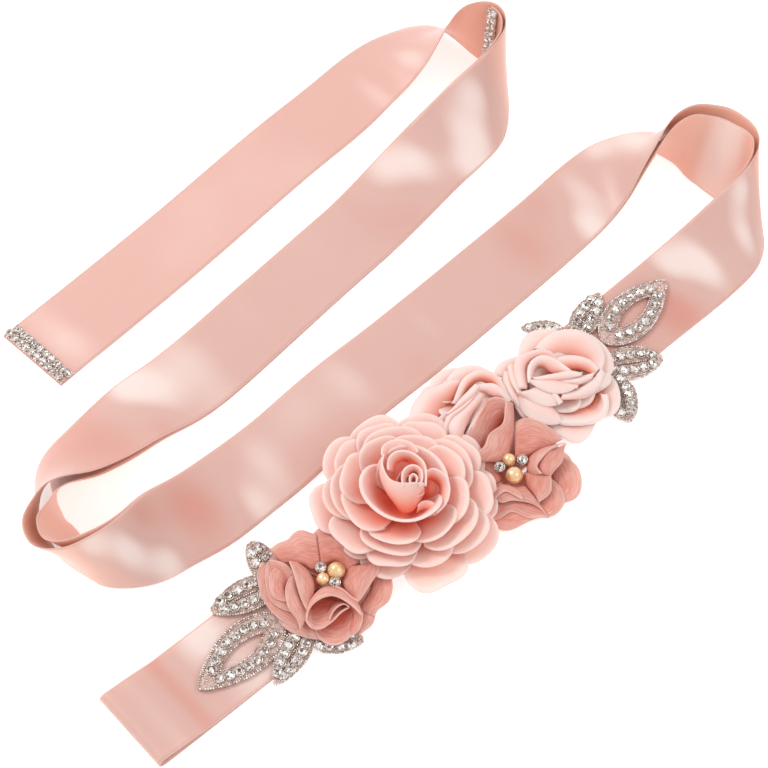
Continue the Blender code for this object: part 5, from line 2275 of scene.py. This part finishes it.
LEAVES = (
    BeadedLeaf("lower_open_leaf", (-80, -151), (-44, -117), 12, 3.5),
    BeadedLeaf("lower_left_leaf", (-76, -115), (-48, -101), 8.0, 0, 0.65),
    BeadedLeaf("lower_right_leaf", (-47, -149), (-33, -122), 7.0, 0),
    BeadedLeaf("lower_small_leaf", (-60, -82), (-47, -102), 7.0, 0, 0.5),
    BeadedLeaf("upper_open_leaf", (135, 53), (103, 20), 11.5, 3.5),
    BeadedLeaf("upper_left_leaf", (103, 47), (90, 23), 6.8, 0),
    BeadedLeaf("upper_right_leaf", (131, 12), (104, 7), 9.0, 0, 0.6),
    BeadedLeaf("upper_low_leaf", (113, -22), (107, 2), 8.0, 0, 0.5),
    BeadedLeaf("upper_small_leaf", (65, 28), (85, 27), 4.8, 0),
    BeadedLeaf("lower_far_leaf", (-9, -128), (-31, -129), 6.0, 0, 0.5, False),
)


def build_flowers() -> None:
    """Sew on the five flowers."""
    crinkle = CrinkleChiffon().material()
    satin = PaleSatin().material()
    flowers = (
        big_rose(),
        crinkle_flower("Lower_crinkle", "lower_chiffon", -25, -103, 100,
                       (16, 27, 26, 21, 20), LOWER_CRINKLE_FOLDS, crinkle),
        crinkle_flower("Upper_crinkle", "upper_chiffon", 61, -46, 128,
                       (16, 18, 21, 24, 21), UPPER_CRINKLE_FOLDS, crinkle),
        folded_rose("Upper_satin_rose", "upper_satin_rose", 83, -4, UPPER_SATIN_FOLDS,
                    (22, 23, 24, 22, 22, 22), ("right", "left"), satin),
        folded_rose("Lower_satin_rose", "lower_satin_rose", 37, -13, LOWER_SATIN_FOLDS,
                    (16, 17, 19, 20, 14, 12), ("back", "front"), satin),
    )
    for flower in flowers:
        flower.build()


def main() -> None:
    """Build the sash over the frame, piece by piece."""
    logging.basicConfig(level=logging.INFO, format="%(message)s")
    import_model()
    ribbon = SashRibbon()
    ribbon.build(RibbonSatin())
    build_flowers()
    stone, metal = CutStone().material(), CupMetal().material()
    glass, backing = SeedGlass().material(), SheerBacking().material()
    for seed, leaf in enumerate(LEAVES):
        gems = Gems(seed * 10 + 5, stone, metal, glass)
        nodes = (leaf.name,) if leaf.replaced else ()
        leaf.name = leaf.name.capitalize()
        leaf.build(ribbon, backing, gems, nodes)
    EndTrim("First_end").build(ribbon, False, Gems(201, stone, metal, glass), backing)
    EndTrim("Second_end").build(ribbon, True, Gems(301, stone, metal, glass), backing)
    pearl = PearlLustre().material()
    FlowerMiddle("Lower_middle", "lower_chiffon_pearls", -25, -103,
                 ((4.0, 4.1, 4.0), (-1.8, 0.2, 3.0)), ((-2.8, 5.4), (3.6, -1.6))
                 ).build(pearl, Gems(401, stone, metal, glass))
    FlowerMiddle("Upper_middle", "upper_chiffon_pearls", 61, -46,
                 ((-2.3, -6.6, 4.0), (-4.4, 1.2, 3.0)), ((-8.8, -2.8), (1.6, 0.9))
                 ).build(pearl, Gems(501, stone, metal, glass))
    Studio().build()


if __name__ == "__main__":
    main()
